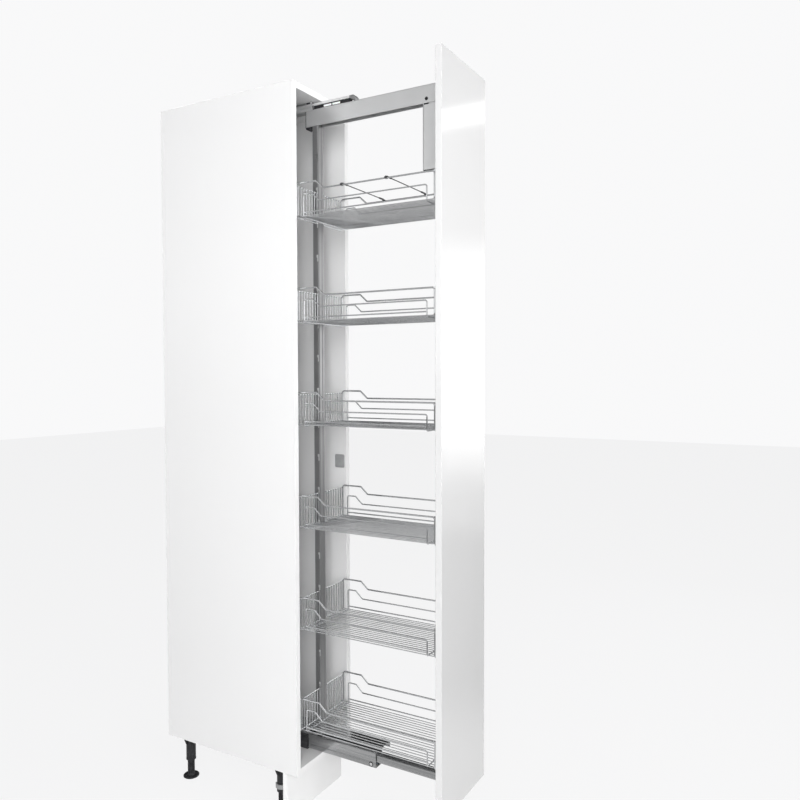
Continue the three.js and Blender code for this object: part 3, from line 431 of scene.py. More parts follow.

# the uprights' darker grey is painted shade: it stands in for the shade on their side faces
upright_painted_shade = new_finish("uprights_grey_painted_shade", "satin_steel", 0.8)
shade(upright_painted_shade, (0.3, 0.302, 0.306), (0.34, 0.342, 0.346), 9)
polish(upright_painted_shade, 0.3, 0.4, 24)
grain(upright_painted_shade, 0.00002, 1200)

rolled = new_finish("rolled_bright_steel", "satin_steel", 0.95)
shade(rolled, (0.34, 0.345, 0.35), (0.5, 0.505, 0.51), 90, (1, 0.03, 1))
polish(rolled, 0.14, 0.26, 150, (1, 0.02, 1))
grain(rolled, 0.00002, 500, (1, 0.012, 1))

zinc = new_finish("dull_zinc", "dark_steel", 0.9)
shade(zinc, (0.27, 0.275, 0.285), (0.4, 0.405, 0.41), 140, kind="Voronoi")
polish(zinc, 0.36, 0.5, 60)
grain(zinc, 0.00003, 400)

black_steel = new_finish("blackened_steel", "dark_steel", 0.6)
shade(black_steel, (0.02, 0.02, 0.022), (0.045, 0.045, 0.048), 150)
polish(black_steel, 0.3, 0.45, 90)
grain(black_steel, 0.00003, 500)

# the fixed channel's dark tone is painted shade: it stands in for the shade under the lowest basket
fixed_rail_painted_shade = new_finish("fixed_channel_painted_shade", "dark_steel", 0.8)
shade(fixed_rail_painted_shade, (0.09, 0.092, 0.096), (0.15, 0.152, 0.156), 90, (1, 0.05, 1))
polish(fixed_rail_painted_shade, 0.3, 0.42, 60)
grain(fixed_rail_painted_shade, 0.00002, 500, (1, 0.05, 1))

# %% [markdown]
# Moulded plastics have a fine spark-eroded grain. Nylon is slightly milky, so a little light goes
# into it: subsurface scattering does that, where a paler colour alone would look painted. The
# dividers are wire with a dark coat.

# %% Plastics
black_plastic = new_finish("black_plastic_grain", "black_plastic", Specular_IOR_Level=0.3)
shade(black_plastic, (0.018, 0.018, 0.02), (0.032, 0.032, 0.035), 80)
polish(black_plastic, 0.42, 0.56, 200)
grain(black_plastic, 0.00008, 1500)

grey_plastic = new_finish("grey_plastic_grain", "grey_plastic")
shade(grey_plastic, (0.3, 0.305, 0.31), (0.36, 0.365, 0.37), 50)
polish(grey_plastic, 0.4, 0.52, 150)
grain(grey_plastic, 0.00006, 1300)

nylon = new_finish("natural_nylon", "nylon", Subsurface_Weight=0.1, Subsurface_Scale=0.002)
shade(nylon, (0.62, 0.62, 0.58), (0.7, 0.7, 0.67), 70)
polish(nylon, 0.35, 0.5, 160)
grain(nylon, 0.00005, 900)

white_nylon = new_finish("white_nylon", "nylon", Subsurface_Weight=0.1, Subsurface_Scale=0.002)
shade(white_nylon, (0.9, 0.9, 0.89), (0.94, 0.94, 0.93), 70)
polish(white_nylon, 0.3, 0.45, 160)
grain(white_nylon, 0.00004, 900)

dark_wire = new_finish("dark_coated_wire", "black_plastic", 0.4)
shade(dark_wire, (0.05, 0.05, 0.054), (0.08, 0.08, 0.085), 90)
polish(dark_wire, 0.25, 0.38, 200)
grain(dark_wire, 0.00003, 1200)

# %% [markdown]
# ## Tools for making pieces
# Most pieces are one outline pushed along an axis, or one outline turned round an axis. Sheet metal
# is drawn by the centre line of its section: the helper rounds each bend and gives it thickness,
# which the Solidify modifier could do too, but here the ends stay square and the mesh is closed.

# %% Outlines
ARC_STEPS, CIRCLE_STEPS = 5, 20
STRAIGHT = 0.02                          # a corner that turns less than this, in radians, stays
MOST_OF_HALF = 0.49                      # how much of a side a rounded corner may take
SHARPEST_MITRE = 0.4


def rounded(points, radius, closed=False):
    """A path with its corners replaced by arcs."""
    result = []
    count = len(points)
    for i, point in enumerate(points):
        here = Vector(point)
        if not closed and i in (0, count - 1):
            result.append(here)
            continue
        before, after = Vector(points[i - 1]), Vector(points[(i + 1) % count])
        back, ahead = (before - here), (after - here)
        turn = math.pi - back.angle(ahead)
        if turn < STRAIGHT:
            result.append(here)
            continue
        longest = MOST_OF_HALF * min(back.length, ahead.length)
        reach = min(radius * math.tan(turn / 2), longest)
        start, end = here + back.normalized() * reach, here + ahead.normalized() * reach
        for step in range(ARC_STEPS + 1):
            t = step / ARC_STEPS
            result.append(start.lerp(here, t).lerp(here.lerp(end, t), t))
    return result


def plate(low, high, radius):
    """The outline of a rectangle with rounded corners."""
    return rounded([low, (high[0], low[1]), high, (low[0], high[1])], radius, closed=True)


def sheet(path, thickness, bend):
    """The outline of bent sheet, from the centre line of its section."""
    line = rounded(path, bend)
    left, right = [], []
    for i, point in enumerate(line):
        before = (point - line[i - 1]).normalized() if i else None
        after = (line[i + 1] - point).normalized() if i < len(line) - 1 else None
        before, after = before or after, after or before
        across = Vector((-(before.y + after.y), before.x + after.x)).normalized()
        reach = thickness / 2 / max(SHARPEST_MITRE, across.dot(Vector((-before.y, before.x))))
        left.append(point + across * reach)
        right.append(point - across * reach)
    return left + right[::-1]


def circle(radius, u, v):
    turns = [2 * math.pi * i / CIRCLE_STEPS for i in range(CIRCLE_STEPS)]
    return [(u + radius * math.cos(t), v + radius * math.sin(t)) for t in turns]


print("outline tools ready")

# %% [markdown]
# These helpers make the meshes from the outlines. Extrude and Spin in edit mode do the same by
# hand; here bmesh places each vertex, so that the sizes are exact and every mesh comes out closed,
# with its faces pointing out.

# %% Solids
MERGE, TINY = 1e-6, 1e-7                 # in metres
AXIS_ORDER = {"X": lambda u, v, w: (w, u, v),
              "Y": lambda u, v, w: (u, w, v),
              "Z": lambda u, v, w: (u, v, w)}


def new_piece(name, mesh):
    piece = bpy.data.objects.new(name, mesh)
    bpy.context.collection.objects.link(piece)
    return piece


def close_up(form, name):
    """Turns the faces outwards and makes the mesh an object."""
    bmesh.ops.remove_doubles(form, verts=form.verts, dist=MERGE)
    bmesh.ops.recalc_face_normals(form, faces=form.faces)
    mesh = bpy.data.meshes.new(name)
    form.to_mesh(mesh)
    form.free()
    return new_piece(name, mesh)


def pushed(name, outline, axis, start, end):
    """An outline pushed along an axis; its points are the other two axes in their order."""
    form = bmesh.new()
    place = AXIS_ORDER[axis]
    rings = [[form.verts.new(metres(place(p[0], p[1], w))) for p in outline] for w in (start, end)]
    count = len(outline)
    form.faces.new(rings[0])
    form.faces.new(rings[1])
    for i in range(count):
        j = (i + 1) % count
        form.faces.new((rings[0][i], rings[0][j], rings[1][j], rings[1][i]))
    return close_up(form, name)


def along(node, outline, axis):
    """An outline pushed along the whole of a node."""
    ends = [corner["XYZ".index(axis)] for corner in span(node)]
    return pushed(node, outline, axis, *ends)


def turned(name, profile, centre, axis="Z", steps=32):
    """A profile of (radius, height) points turned round an axis through the centre."""
    form = bmesh.new()
    place = AXIS_ORDER[axis]
    rings = []
    for step in range(steps):
        angle = 2 * math.pi * step / steps
        rings.append([form.verts.new(metres(Vector(centre)
                                            + Vector(place(r * math.cos(angle), r * math.sin(angle), h))))
                      for r, h in profile])
    for step in range(steps):
        this, following = rings[step], rings[(step + 1) % steps]
        for i in range(len(profile)):
            j = (i + 1) % len(profile)
            form.faces.new((this[i], this[j], following[j], following[i]))
    bmesh.ops.remove_doubles(form, verts=form.verts, dist=TINY)
    bmesh.ops.dissolve_degenerate(form, edges=form.edges, dist=TINY)
    return close_up(form, name)


def block(name, low, high):
    low, high = Vector(low), Vector(high)
    outline = [(low.x, low.y), (high.x, low.y), (high.x, high.y), (low.x, high.y)]
    return pushed(name, outline, "Z", low.z, high.z)


print("solid tools ready")

# %% [markdown]
# Modifiers finish the shapes: Bevel takes the sharp edge off, as a real edge catches a thin line of
# light, and Boolean cuts holes. Each result is turned into a plain mesh at once. `dress` then gives
# the piece its finish, its body and the model's nodes that it stands for.

# %% Finishing tools
BEVEL_ANGLE = 40                         # edges that turn less than this stay as they are
CREASE = 35                              # edges that turn more than this are shaded sharp
BIG_MESH, FULL_WEIGHT = 20000, 100       # faces, and how much a face's size counts


def settle(piece):
    """Keeps what the modifiers made as a plain mesh."""
    graph = bpy.context.evaluated_depsgraph_get()
    mesh = bpy.data.meshes.new_from_object(piece.evaluated_get(graph))
    piece.modifiers.clear()
    piece.data = mesh
    return piece


def soften(piece, width, steps=2):
    bevel = piece.modifiers.new("soften", "BEVEL")
    bevel.width, bevel.segments, bevel.limit_method = width * MM, steps, "ANGLE"
    bevel.angle_limit = math.radians(BEVEL_ANGLE)
    return settle(piece)


def cut(piece, *cutters):
    for cutter in cutters:
        hole = piece.modifiers.new("hole", "BOOLEAN")
        hole.operation, hole.object, hole.solver = "DIFFERENCE", cutter, "EXACT"
    settle(piece)
    for cutter in cutters:
        bpy.data.objects.remove(cutter)
    return piece


def joined(name, *pieces):
    form = bmesh.new()
    for piece in pieces:
        form.from_mesh(piece.data)
        bpy.data.objects.remove(piece)
    mesh = bpy.data.meshes.new(name)
    form.to_mesh(mesh)
    form.free()
    return new_piece(name, mesh)


def dress(piece, finish, body, *nodes, crease=CREASE):
    """Gives a piece its finish, its body and the nodes that it replaces."""
    piece.data.materials.clear()
    piece.data.materials.append(finish)
    piece.data.polygons.foreach_set("material_index", [0] * len(piece.data.polygons))
    piece.data.shade_smooth()
    piece.data.set_sharp_from_angle(angle=math.radians(crease))
    if len(piece.data.polygons) < BIG_MESH:
        # flat faces keep their own direction next to rounded edges, so they reflect like flat ones
        flat = piece.modifiers.new("flat", "WEIGHTED_NORMAL")
        flat.keep_sharp, flat.weight = True, FULL_WEIGHT
        settle(piece)
    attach(piece, body)
    if nodes:
        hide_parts(*nodes)
        piece.name = nodes[0] + "_look"
    print(piece.name, len(piece.data.polygons), "faces on", body)
    return piece


print("finishing tools ready")

# %% [markdown]
# ## Geometry Nodes for what repeats
# Three trees do the repeating. `bent_wire_row` rounds the corners of a drawn path, gives it a round
# section and copies it along a step: it makes every wire of the baskets. `row` copies any mesh
# along a step, for slots, screws and ribs. `ring` turns copies round an axis, for gussets and ribs.
# Array modifiers could do the last two, but a tree has its sizes as inputs with plain names.

# %% Tree helpers
def new_tree(name, **sockets):
    tree = bpy.data.node_groups.new(name, "GeometryNodeTree")
    tree.interface.new_socket("Geometry", in_out="INPUT", socket_type="NodeSocketGeometry")
    for label, kind in sockets.items():
        tree.interface.new_socket(label.replace("_", " "), in_out="INPUT", socket_type="NodeSocket" + kind)
    tree.interface.new_socket("Geometry", in_out="OUTPUT", socket_type="NodeSocketGeometry")
    return tree, tree.nodes.new("NodeGroupInput"), tree.nodes.new("NodeGroupOutput")


def finish_tree(tree, entry, exit_node, geometry):
    """Every tree ends in real geometry with its material set."""
    real = tree.nodes.new("GeometryNodeRealizeInstances")
    paint = tree.nodes.new("GeometryNodeSetMaterial")
    link(tree, geometry, real.inputs["Geometry"])
    link(tree, real.outputs["Geometry"], paint.inputs["Geometry"])
    link(tree, entry.outputs["Finish"], paint.inputs["Material"])
    link(tree, paint.outputs["Geometry"], exit_node.inputs["Geometry"])


def copy_along(tree, entry, geometry, step=None):
    """Puts copies on the points of a line. Without a step, they all stand in one place."""
    line = tree.nodes.new("GeometryNodeMeshLine")
    copies = tree.nodes.new("GeometryNodeInstanceOnPoints")
    link(tree, entry.outputs["Copies"], line.inputs["Count"])
    if step:
        link(tree, step, line.inputs["Offset"])
    else:
        line.inputs["Offset"].default_value = (0, 0, 0)
    link(tree, line.outputs["Mesh"], copies.inputs["Points"])
    link(tree, geometry, copies.inputs["Instance"])
    return copies


print("tree helpers ready")

# %% Three trees
BEND_STEPS, WIRE_SIDES = 5, 10


def make_wire_tree():
    tree, entry, exit_node = new_tree("bent_wire_row", Diameter="Float", Bend="Float", Copies="Int",
                                      Step="Vector", Finish="Material")
    curve = tree.nodes.new("GeometryNodeMeshToCurve")
    fillet = tree.nodes.new("GeometryNodeFilletCurve")
    fillet.mode = "POLY"
    fillet.inputs["Count"].default_value = BEND_STEPS
    fillet.inputs["Limit Radius"].default_value = True
    half = tree.nodes.new("ShaderNodeMath")
    half.operation = "DIVIDE"
    half.inputs[1].default_value = 2
    section = tree.nodes.new("GeometryNodeCurvePrimitiveCircle")
    section.inputs["Resolution"].default_value = WIRE_SIDES
    tube = tree.nodes.new("GeometryNodeCurveToMesh")
    tube.inputs["Fill Caps"].default_value = True
    link(tree, entry.outputs["Geometry"], curve.inputs["Mesh"])
    link(tree, curve.outputs["Curve"], fillet.inputs["Curve"])
    link(tree, entry.outputs["Bend"], fillet.inputs["Radius"])
    link(tree, entry.outputs["Diameter"], half.inputs[0])
    link(tree, half.outputs[0], section.inputs["Radius"])
    link(tree, fillet.outputs["Curve"], tube.inputs["Curve"])
    link(tree, section.outputs["Curve"], tube.inputs["Profile Curve"])
    copies = copy_along(tree, entry, tube.outputs["Mesh"], entry.outputs["Step"])
    finish_tree(tree, entry, exit_node, copies.outputs["Instances"])
    return tree


def make_row_tree():
    tree, entry, exit_node = new_tree("row", Copies="Int", Step="Vector", Finish="Material")
    copies = copy_along(tree, entry, entry.outputs["Geometry"], entry.outputs["Step"])
    finish_tree(tree, entry, exit_node, copies.outputs["Instances"])
    return tree


def make_ring_tree():
    """The piece is drawn beside the axis; copies turn round the axis through the centre."""
    tree, entry, exit_node = new_tree("ring", Copies="Int", Centre="Vector", Turn="Vector", Finish="Material")
    index = tree.nodes.new("GeometryNodeInputIndex")
    home, out = [tree.nodes.new("GeometryNodeTransform") for _ in range(2)]
    turn = vector_math(tree, "SCALE", entry.outputs["Turn"])
    link(tree, index.outputs["Index"], turn.inputs["Scale"])
    back = vector_math(tree, "SCALE", entry.outputs["Centre"])
    back.inputs["Scale"].default_value = -1
    link(tree, entry.outputs["Geometry"], home.inputs["Geometry"])
    link(tree, back.outputs[0], home.inputs["Translation"])
    copies = copy_along(tree, entry, home.outputs["Geometry"])
    link(tree, turn.outputs[0], copies.inputs["Rotation"])
    link(tree, copies.outputs["Instances"], out.inputs["Geometry"])
    link(tree, entry.outputs["Centre"], out.inputs["Translation"])
    finish_tree(tree, entry, exit_node, out.outputs["Geometry"])
    return tree


WIRE_TREE, ROW_TREE, RING_TREE = make_wire_tree(), make_row_tree(), make_ring_tree()
print("node trees", [t.name for t in (WIRE_TREE, ROW_TREE, RING_TREE)])

# %% [markdown]
# A modifier runs a tree on a piece, and its inputs are reached by their identifiers, because a name
# isn't unique. These helpers do that for wires, rows and rings, and keep the result as a mesh.

# %% Running a tree
def grow(piece, tree, **values):
    """Runs a tree on a piece. Inputs are set by their sockets' identifiers."""
    modifier = piece.modifiers.new(tree.name, "NODES")
    modifier.node_group = tree
    inputs = {item.name: item.identifier for item in tree.interface.items_tree if item.in_out == "INPUT"}
    for label, value in values.items():
        modifier[inputs[label]] = value
    return settle(piece)


def wires(name, path, diameter, bend, copies=1, step=(0, 0, 0), closed=False):
    mesh = bpy.data.meshes.new(name)
    edges = [(i, i + 1) for i in range(len(path) - 1)]
    if closed:
        edges.append((len(path) - 1, 0))
    mesh.from_pydata([metres(p) for p in path], edges, [])
    return grow(new_piece(name, mesh), WIRE_TREE, Diameter=diameter * MM, Bend=bend * MM, Copies=copies,
                Step=[v * MM for v in step], Finish=chrome)


def row(piece, copies, step):
    return grow(piece, ROW_TREE, Copies=copies, Step=[v * MM for v in step], Finish=zinc)


def ring(piece, copies, centre, axis):
    turn = AXIS_ORDER[axis](0, 0, 2 * math.pi / copies)
    return grow(piece, RING_TREE, Copies=copies, Centre=metres(centre)[:], Turn=turn, Finish=zinc)


def wire(name, start, end, diameter, copies=1, step=(0, 0, 0)):
    """A straight wire between two points."""
    return wires(name, [start, end], diameter, 1, copies, step)


print("wires, rows and rings ready")

# %% [markdown]
# ## The carcass
# Each board is a solid with softened corners. Its front edge carries a separate plastic band one
# millimetre thick, with rounded corners that catch a thin line of light. A painted line could stand
# for the band, but a piece of its own has a real edge. The screws come first, because several
# pieces need them: a turned head, with a cross recess cut into it.

# %% Screws
PLUS_ARM = 0.28                          # half the width of a recess's arm, by its length
RECESS_SIZE, RECESS_FLOOR = 0.52, 0.35   # by the head's radius and by its height


def plus(size, u, v):
    """The outline of a cross recess."""
    a, b = size, size * PLUS_ARM
    corners = [(-b, -a), (b, -a), (b, -b), (a, -b), (a, b), (b, b), (b, a), (-b, a), (-b, b), (-a, b),
               (-a, -b), (-b, -b)]
    return [(u + p, v + q) for p, q in corners]


def screw(name, centre, axis, radius, height, out=-1):
    """A domed head with a cross recess. It stands out from the centre along the axis."""
    profile = [(0, 0), (radius, 0), (radius, height * 0.35), (radius * 0.8, height * 0.8),
               (radius * 0.45, height), (0, height)]
    head = turned(name, [(r, h * out) for r, h in profile], centre, axis, 24)
    index = "XYZ".index(axis)
    u, v = [c for i, c in enumerate(centre) if i != index]
    ends = [centre[index] + out * h for h in (height * RECESS_FLOOR, height + 1)]
    return cut(head, pushed("recess", plus(radius * RECESS_SIZE, u, v), axis, *ends))


print("screw helper ready")

# %% Boards
BAND, BAND_GAP = 1.0, 0.05


def board(node):
    """A board behind its edge band."""
    low, high = span(node)
    body = soften(block(node, (low[0], BAND + BAND_GAP, low[2]), high), 0.3)
    dress(body, melamine, "carcass", node)
    band = soften(block(node + "_band", low, (high[0], BAND, high[2])), 0.45, 3)
    dress(band, edge_band, "carcass")


for node in ("side_panel_left", "side_panel_right", "bottom_panel", "top_panel"):
    board(node)

# %% [markdown]
# The back board closes the unit and keeps it square. A row of cutters sinks the holes, and a row of
# screws at the same step fills them, so that heads and holes can't drift apart.

# %% Back board and its screws
BACK_SCREW_X, BACK_SCREW_Z, BACK_SCREW_STEP, BACK_SCREWS = 140.5, 200, 340.6, 7
back = soften(block("back_panel", *span("back_panel")), 0.4)
back_face = span("back_panel")[1][1]
for side, word in ((-1, "left"), (1, "right")):
    start = (side * BACK_SCREW_X, back_face, BACK_SCREW_Z)
    sink = turned("sink", [(0, 1), (4.6, 1), (4.6, 0), (2, -2.6), (0, -2.6)], start, "Y", 20)
    back = cut(back, row(sink, BACK_SCREWS, (0, 0, BACK_SCREW_STEP)))
    head = screw("back_screws_" + word, (start[0], back_face - 2.4, start[2]), "Y", 4, 2, 1)
    dress(row(head, BACK_SCREWS, (0, 0, BACK_SCREW_STEP)), zinc, "carcass")
dress(back, melamine, "carcass", "back_panel")

# %% [markdown]
# ## The base
# Each leg is a black moulded socket with gussets under its flange, and a levelling foot with a
# screw thread. Both are round, so a profile is turned; an Array round an empty could place the
# gussets, but here one is drawn and a tree turns the copies, and the four screws of each flange are
# made the same way. The thread's grooves are rings, which look like a thread at this pitch.

# %% Legs
GUSSETS, FLANGE_SCREWS, FLANGE_SCREW_REACH = 8, 4, 23.5
THREAD_CREST, THREAD_ROOT, HALF_PITCH = 12, 10.9, 1.5


def make_leg(leg):
    x, y, _ = centre_of(leg + "_socket")
    low, top = [corner[2] for corner in span(leg + "_socket")]
    wall = [(12.3, low), (15.6, low), (16.6, low + 1), (16.8, low + 6), (16.2, low + 8),
            (16.2, top - 6.5), (17.4, top - 5), (29, top - 5), (30, top - 4), (30, top - 0.5),
            (29.5, top), (12.3, top)]
    tube = turned(leg + "_socket", wall, (x, y, 0), steps=48)
    gusset = pushed("gusset", [(x + 15.8, top - 4.7), (x + 28.4, top - 4.7), (x + 27.4, top - 8.2),
                               (x + 16.3, top - 37.7), (x + 15.8, top - 37.7)], "Y", y - 1.1, y + 1.1)
    gussets = ring(soften(gusset, 0.3), GUSSETS, (x, y, 0), "Z")
    dress(joined(leg + "_socket", tube, gussets), black_plastic, "carcass", leg + "_socket")
    turn = math.pi / GUSSETS             # the screws sit between the gussets
    place = (x + FLANGE_SCREW_REACH * math.cos(turn), y + FLANGE_SCREW_REACH * math.sin(turn), top - 4.9)
    heads = ring(screw("head", place, "Z", 2.8, 1.6), FLANGE_SCREWS, (x, y, 0), "Z")
    dress(heads, zinc, "carcass").name = leg + "_screws"
    thread = [(THREAD_CREST if i % 2 else THREAD_ROOT, 6 + i * HALF_PITCH) for i in range(4, 61)]
    foot = [(0, 0), (25.6, 0), (27, 1.2), (27, 3.6), (25.2, 5.4), (21, 6), (14, 6), (12, 8)]
    foot += thread + [(11, 98.5), (9.5, 100), (0, 100)]
    dress(turned(leg + "_foot", foot, (x, y, 0), steps=40), black_plastic, "carcass", leg + "_foot")


for leg in ("front_left_leg", "front_right_leg", "back_left_leg", "back_right_leg"):
    make_leg(leg)

# %% [markdown]
# The plinth closes the gap under the unit and comes off for cleaning: a grey clip snaps round each
# front leg. Its open ring is a strip bent round the leg, so it is drawn like bent sheet.

# %% Plinth and its clips
plinth = soften(block("plinth_panel", *span("plinth_panel")), 0.5, 3)
dress(plinth, edge_band, "carcass", "plinth_panel")
CLIP_RADIUS, CLIP_STEPS = 18.85, 30
CLIP_START, CLIP_TURN = 63.2, 306.4      # degrees


def make_clip(name, leg):
    """A spring ring round the leg, open at the back, on an arm with a plate against the plinth."""
    x, y, _ = centre_of(leg + "_socket")
    turns = [math.radians(CLIP_START - i * CLIP_TURN / CLIP_STEPS) for i in range(CLIP_STEPS + 1)]
    arc = [(x + CLIP_RADIUS * math.cos(t), y + CLIP_RADIUS * math.sin(t)) for t in turns]
    grip = along(name, sheet(arc, 3.5, 0.1), "Z")
    half = [(9, 56.3), (9, 58.8), (4.5, 60.5), (4.5, 78)]
    outline = [(x + u, v) for u, v in half] + [(x - u, v) for u, v in half[::-1]]
    arm = pushed("arm", outline, "Z", *[corner[2] for corner in span(name)])
    dress(joined(name, soften(grip, 0.4), soften(arm, 0.4)), grey_plastic, "carcass", name)


make_clip("plinth_clip_left", "front_left_leg")
make_clip("plinth_clip_right", "front_right_leg")

# %% [markdown]
# A small moulded cap covers a fitting on the right wall. Its edges are well rounded, so Bevel gets
# four steps here, where a board needs two.

# %% Cover cap on the right wall
low, high = span("side_wall_cover_cap")
cap = soften(along("side_wall_cover_cap", plate(low[1:], high[1:], 6), "X"), 1.3, 4)
dress(cap, grey_plastic, "carcass", "side_wall_cover_cap")

# %% [markdown]
# ## The floor runner
# Three rolled channels run inside each other. The fixed one, screwed to the floor board, has a dark
# zinc tone that is painted shade. The middle one is bright, closed but for a slit on top, with an
# apron folded down at its right. Rolling gives every channel one section from end to end, so the
# section's centre line is drawn and pushed along; only its beads need points of their own.

# %% Channels of the runner
FIXED_SCREW = (-15, 85)                  # x and y of the first one
FIXED_SCREWS, FIXED_SCREW_STEP = 5, (0, 105, 0)


def bead(u, z0, z1, depth):
    """Points up a wall that steps in by the depth between two heights."""
    return [(u, z0), (u - depth, z0 + abs(depth)), (u - depth, z1 - abs(depth)), (u, z1)]


def mirrored(half):
    """A path and its mirror image, joined in the middle; the half starts at the middle."""
    return [(-u, z) for u, z in half[::-1]] + list(half)


fixed_half = [(23, 170.3)] + bead(23, 184, 206, 0.5) + [(23, 218)]
fixed = along("floor_rail_fixed", sheet(mirrored(fixed_half), 2, 2.5), "Y")
drill = turned("drill", [(0, 3), (4.4, 3), (2.6, 0), (2.6, -4), (0, -4)], (*FIXED_SCREW, 170.6), "Z", 16)
fixed = soften(cut(fixed, row(drill, FIXED_SCREWS, FIXED_SCREW_STEP)), 0.15, 1)
dress(fixed, fixed_rail_painted_shade, "carcass", "floor_rail_fixed")
head = screw("fixed_rail_screws", (*FIXED_SCREW, 170.7), "Z", 3.6, 1.1, 1)
dress(row(head, FIXED_SCREWS, FIXED_SCREW_STEP), zinc, "carcass")

middle_half = [(19, 172.9)] + bead(19, 187, 205, 0.7) + [(19, 220.5), (10, 220.5)]
middle = along("floor_rail_middle", sheet(mirrored(middle_half), 2, 3.2), "Y")
middle_front, middle_back = [corner[1] for corner in span("floor_rail_middle")]
pins = [centre_of(node)[1:] for node in ("middle_rail_front_pin", "middle_rail_back_pin")]
bores = [pushed("bore", circle(3.3, y, z), "X", -30, 30) for y, z in pins]
wheel_front = span("middle_rail_back_wheel")[0][1]
opening = block("opening", (-8.6, wheel_front, 170), (8.6, middle_back + 2, 175))
middle = soften(cut(middle, opening, *bores), 0.15, 1)
dress(middle, rolled, "floor_middle_rail", "floor_rail_middle")
apron_path = [(20.2, 220.6), (69, 220.6), (69, 204)]
apron = pushed("runner_apron", sheet(apron_path, 1.6, 2.5), "Y", middle_front, middle_back)
dress(soften(apron, 0.15, 1), rolled, "floor_middle_rail")

# %% [markdown]
# The frame's own rail is a tube with a shallow bead along each side. At its back the bottom is left
# open for a wheel, and two cheeks hold the wheel's pin. Cutting the tube open would do, but two
# sections pushed one behind the other are simpler and keep the faces clean.

# %% The frame's own rail
(_, FRAME_FRONT, _), (_, RAIL_END, _) = span("floor_rail_inner")
OPEN_FROM, OVERLAP = -20, 0.4
side_path = bead(15, 195, 207, 0.9)
tube_half = [(0.15, 190.5), (15, 190.5)] + side_path + [(15, 211.5), (0, 211.5)]
tube_path = tube_half + [(-u, z) for u, z in tube_half[::-1][1:]]
tube = pushed("tube", sheet(tube_path, 2, 2.2), "Y", FRAME_FRONT, OPEN_FROM + OVERLAP)
open_half = side_path + [(15, 211.5)]
open_path = [(15, 189.5)] + open_half + [(-u, z) for u, z in open_half[::-1]] + [(-15, 189.5)]
tail = pushed("tail", sheet(open_path, 2, 2.2), "Y", OPEN_FROM, RAIL_END)
cheek = rounded([(-5.5, 192), (-5.5, 182), (RAIL_END, 182), (RAIL_END, 192)], 5)
cheeks = [soften(pushed("cheek", cheek, "X", *xs), 0.2) for xs in ((-16, -14), (14, 16))]
inner = joined("floor_rail_inner", soften(tube, 0.15, 1), soften(tail, 0.15, 1), *cheeks)
dress(inner, rolled, "pull_out_frame", "floor_rail_inner")

# %% [markdown]
# Nylon wheels on riveted pins carry the channels. A wheel has a tread with rounded edges, a thin
# web and a hub, all in one profile that is turned; the ribs that stiffen a large one are a ring of
# copies. Radius, width and place come from the model's wheel.

# %% Wheels and pins
TREAD_HALF, RIBBED_FROM = 8, 9           # half the tread's width; a rim larger than this gets ribs


def make_wheel(name, body):
    low, high = span(name)
    centre, radius, hub_half = centre_of(name), (high[1] - low[1]) / 2, high[0]
    _, y, z = centre
    tread, rim_in = TREAD_HALF, max(radius - 3.4, 6.4)
    profile = [(3.3, -hub_half), (5.2, -hub_half), (5.6, 0.4 - hub_half), (5.6, -3), (rim_in, -3),
               (rim_in, 0.4 - tread), (rim_in + 0.4, -tread), (radius - 0.9, -tread),
               (radius - 0.2, 0.8 - tread), (radius, -5.5), (radius, 5.5), (radius - 0.2, tread - 0.8),
               (radius - 0.9, tread), (rim_in + 0.4, tread), (rim_in, tread - 0.4), (rim_in, 3), (5.6, 3),
               (5.6, hub_half - 0.4), (5.2, hub_half), (3.3, hub_half)]
    wheel = turned(name, profile, centre, "X", 56)
    if rim_in > RIBBED_FROM:
        rib = pushed("rib", [(y + 5.3, z - 0.8), (y + rim_in + 0.3, z - 0.8), (y + rim_in + 0.3, z + 0.8),
                             (y + 5.3, z + 0.8)], "X", -6.4, 6.4)
        wheel = joined(name, wheel, ring(rib, 6, centre, "X"))
    dress(wheel, nylon, body, name)


bright_pin = new_finish("bright_rivet", "dark_steel", 0.9, Roughness=0.25)
shade(bright_pin, (0.7, 0.7, 0.71), (0.8, 0.8, 0.81), 120)
grain(bright_pin, 0.00002, 700)


def make_pin(name, body):
    """A riveted pin: a domed head at the left, a chamfered end at the right."""
    end = span(name)[1][0]
    profile = [(0, -end - 1.1), (2.6, -end - 1.05), (4.2, -end - 0.7), (5, -end - 0.2), (5, -end),
               (3, -end), (3, end - 0.6), (2.4, end), (0, end)]
    dress(turned(name, profile, (0, *centre_of(name)[1:]), "X", 28), bright_pin, body, name)


make_wheel("middle_rail_front_wheel", "middle_front_wheel")
make_wheel("middle_rail_back_wheel", "middle_back_wheel")
make_wheel("inner_rail_wheel", "inner_wheel")
washer = turned("pin_washer", [(5.1, -20.2), (7.6, -20.2), (7.6, -20.05), (5.1, -20.05)], (0, *pins[0]), "X")
dress(washer, black_plastic, "floor_middle_rail")
make_pin("middle_rail_front_pin", "floor_middle_rail")
make_pin("middle_rail_back_pin", "floor_middle_rail")
make_pin("inner_rail_pin", "pull_out_frame")

# %% [markdown]
# A ribbed black buffer stops the pull-out softly when it is pushed in. Ribs could be cut into a
# thick pad, but here one rib is drawn on a thin pad and a tree repeats it.

# %% End-stop buffer
low, high = span("end_stop_buffer")
pad = soften(block("buffer", (low[0], low[1] + 1.5, low[2]), high), 1.2, 3)
rib = block("rib", (low[0] + 2, low[1], low[2] + 2.4), (high[0] - 2, low[1] + 2.2, low[2] + 4.4))
ribs = row(soften(rib, 0.6), 5, (0, 0, 4))
dress(joined("end_stop_buffer", pad, ribs), black_plastic, "carcass", "end_stop_buffer")

# %% [markdown]
# ## The guide under the top board
# A fixed profile is screwed under the top board and a flatter one slides in it, so that the tall
# frame can't sway. Both are bent sheet. The long gaps in the fixed one's sides are cut by Boolean,
# because a gap inside a face can't come from the section.

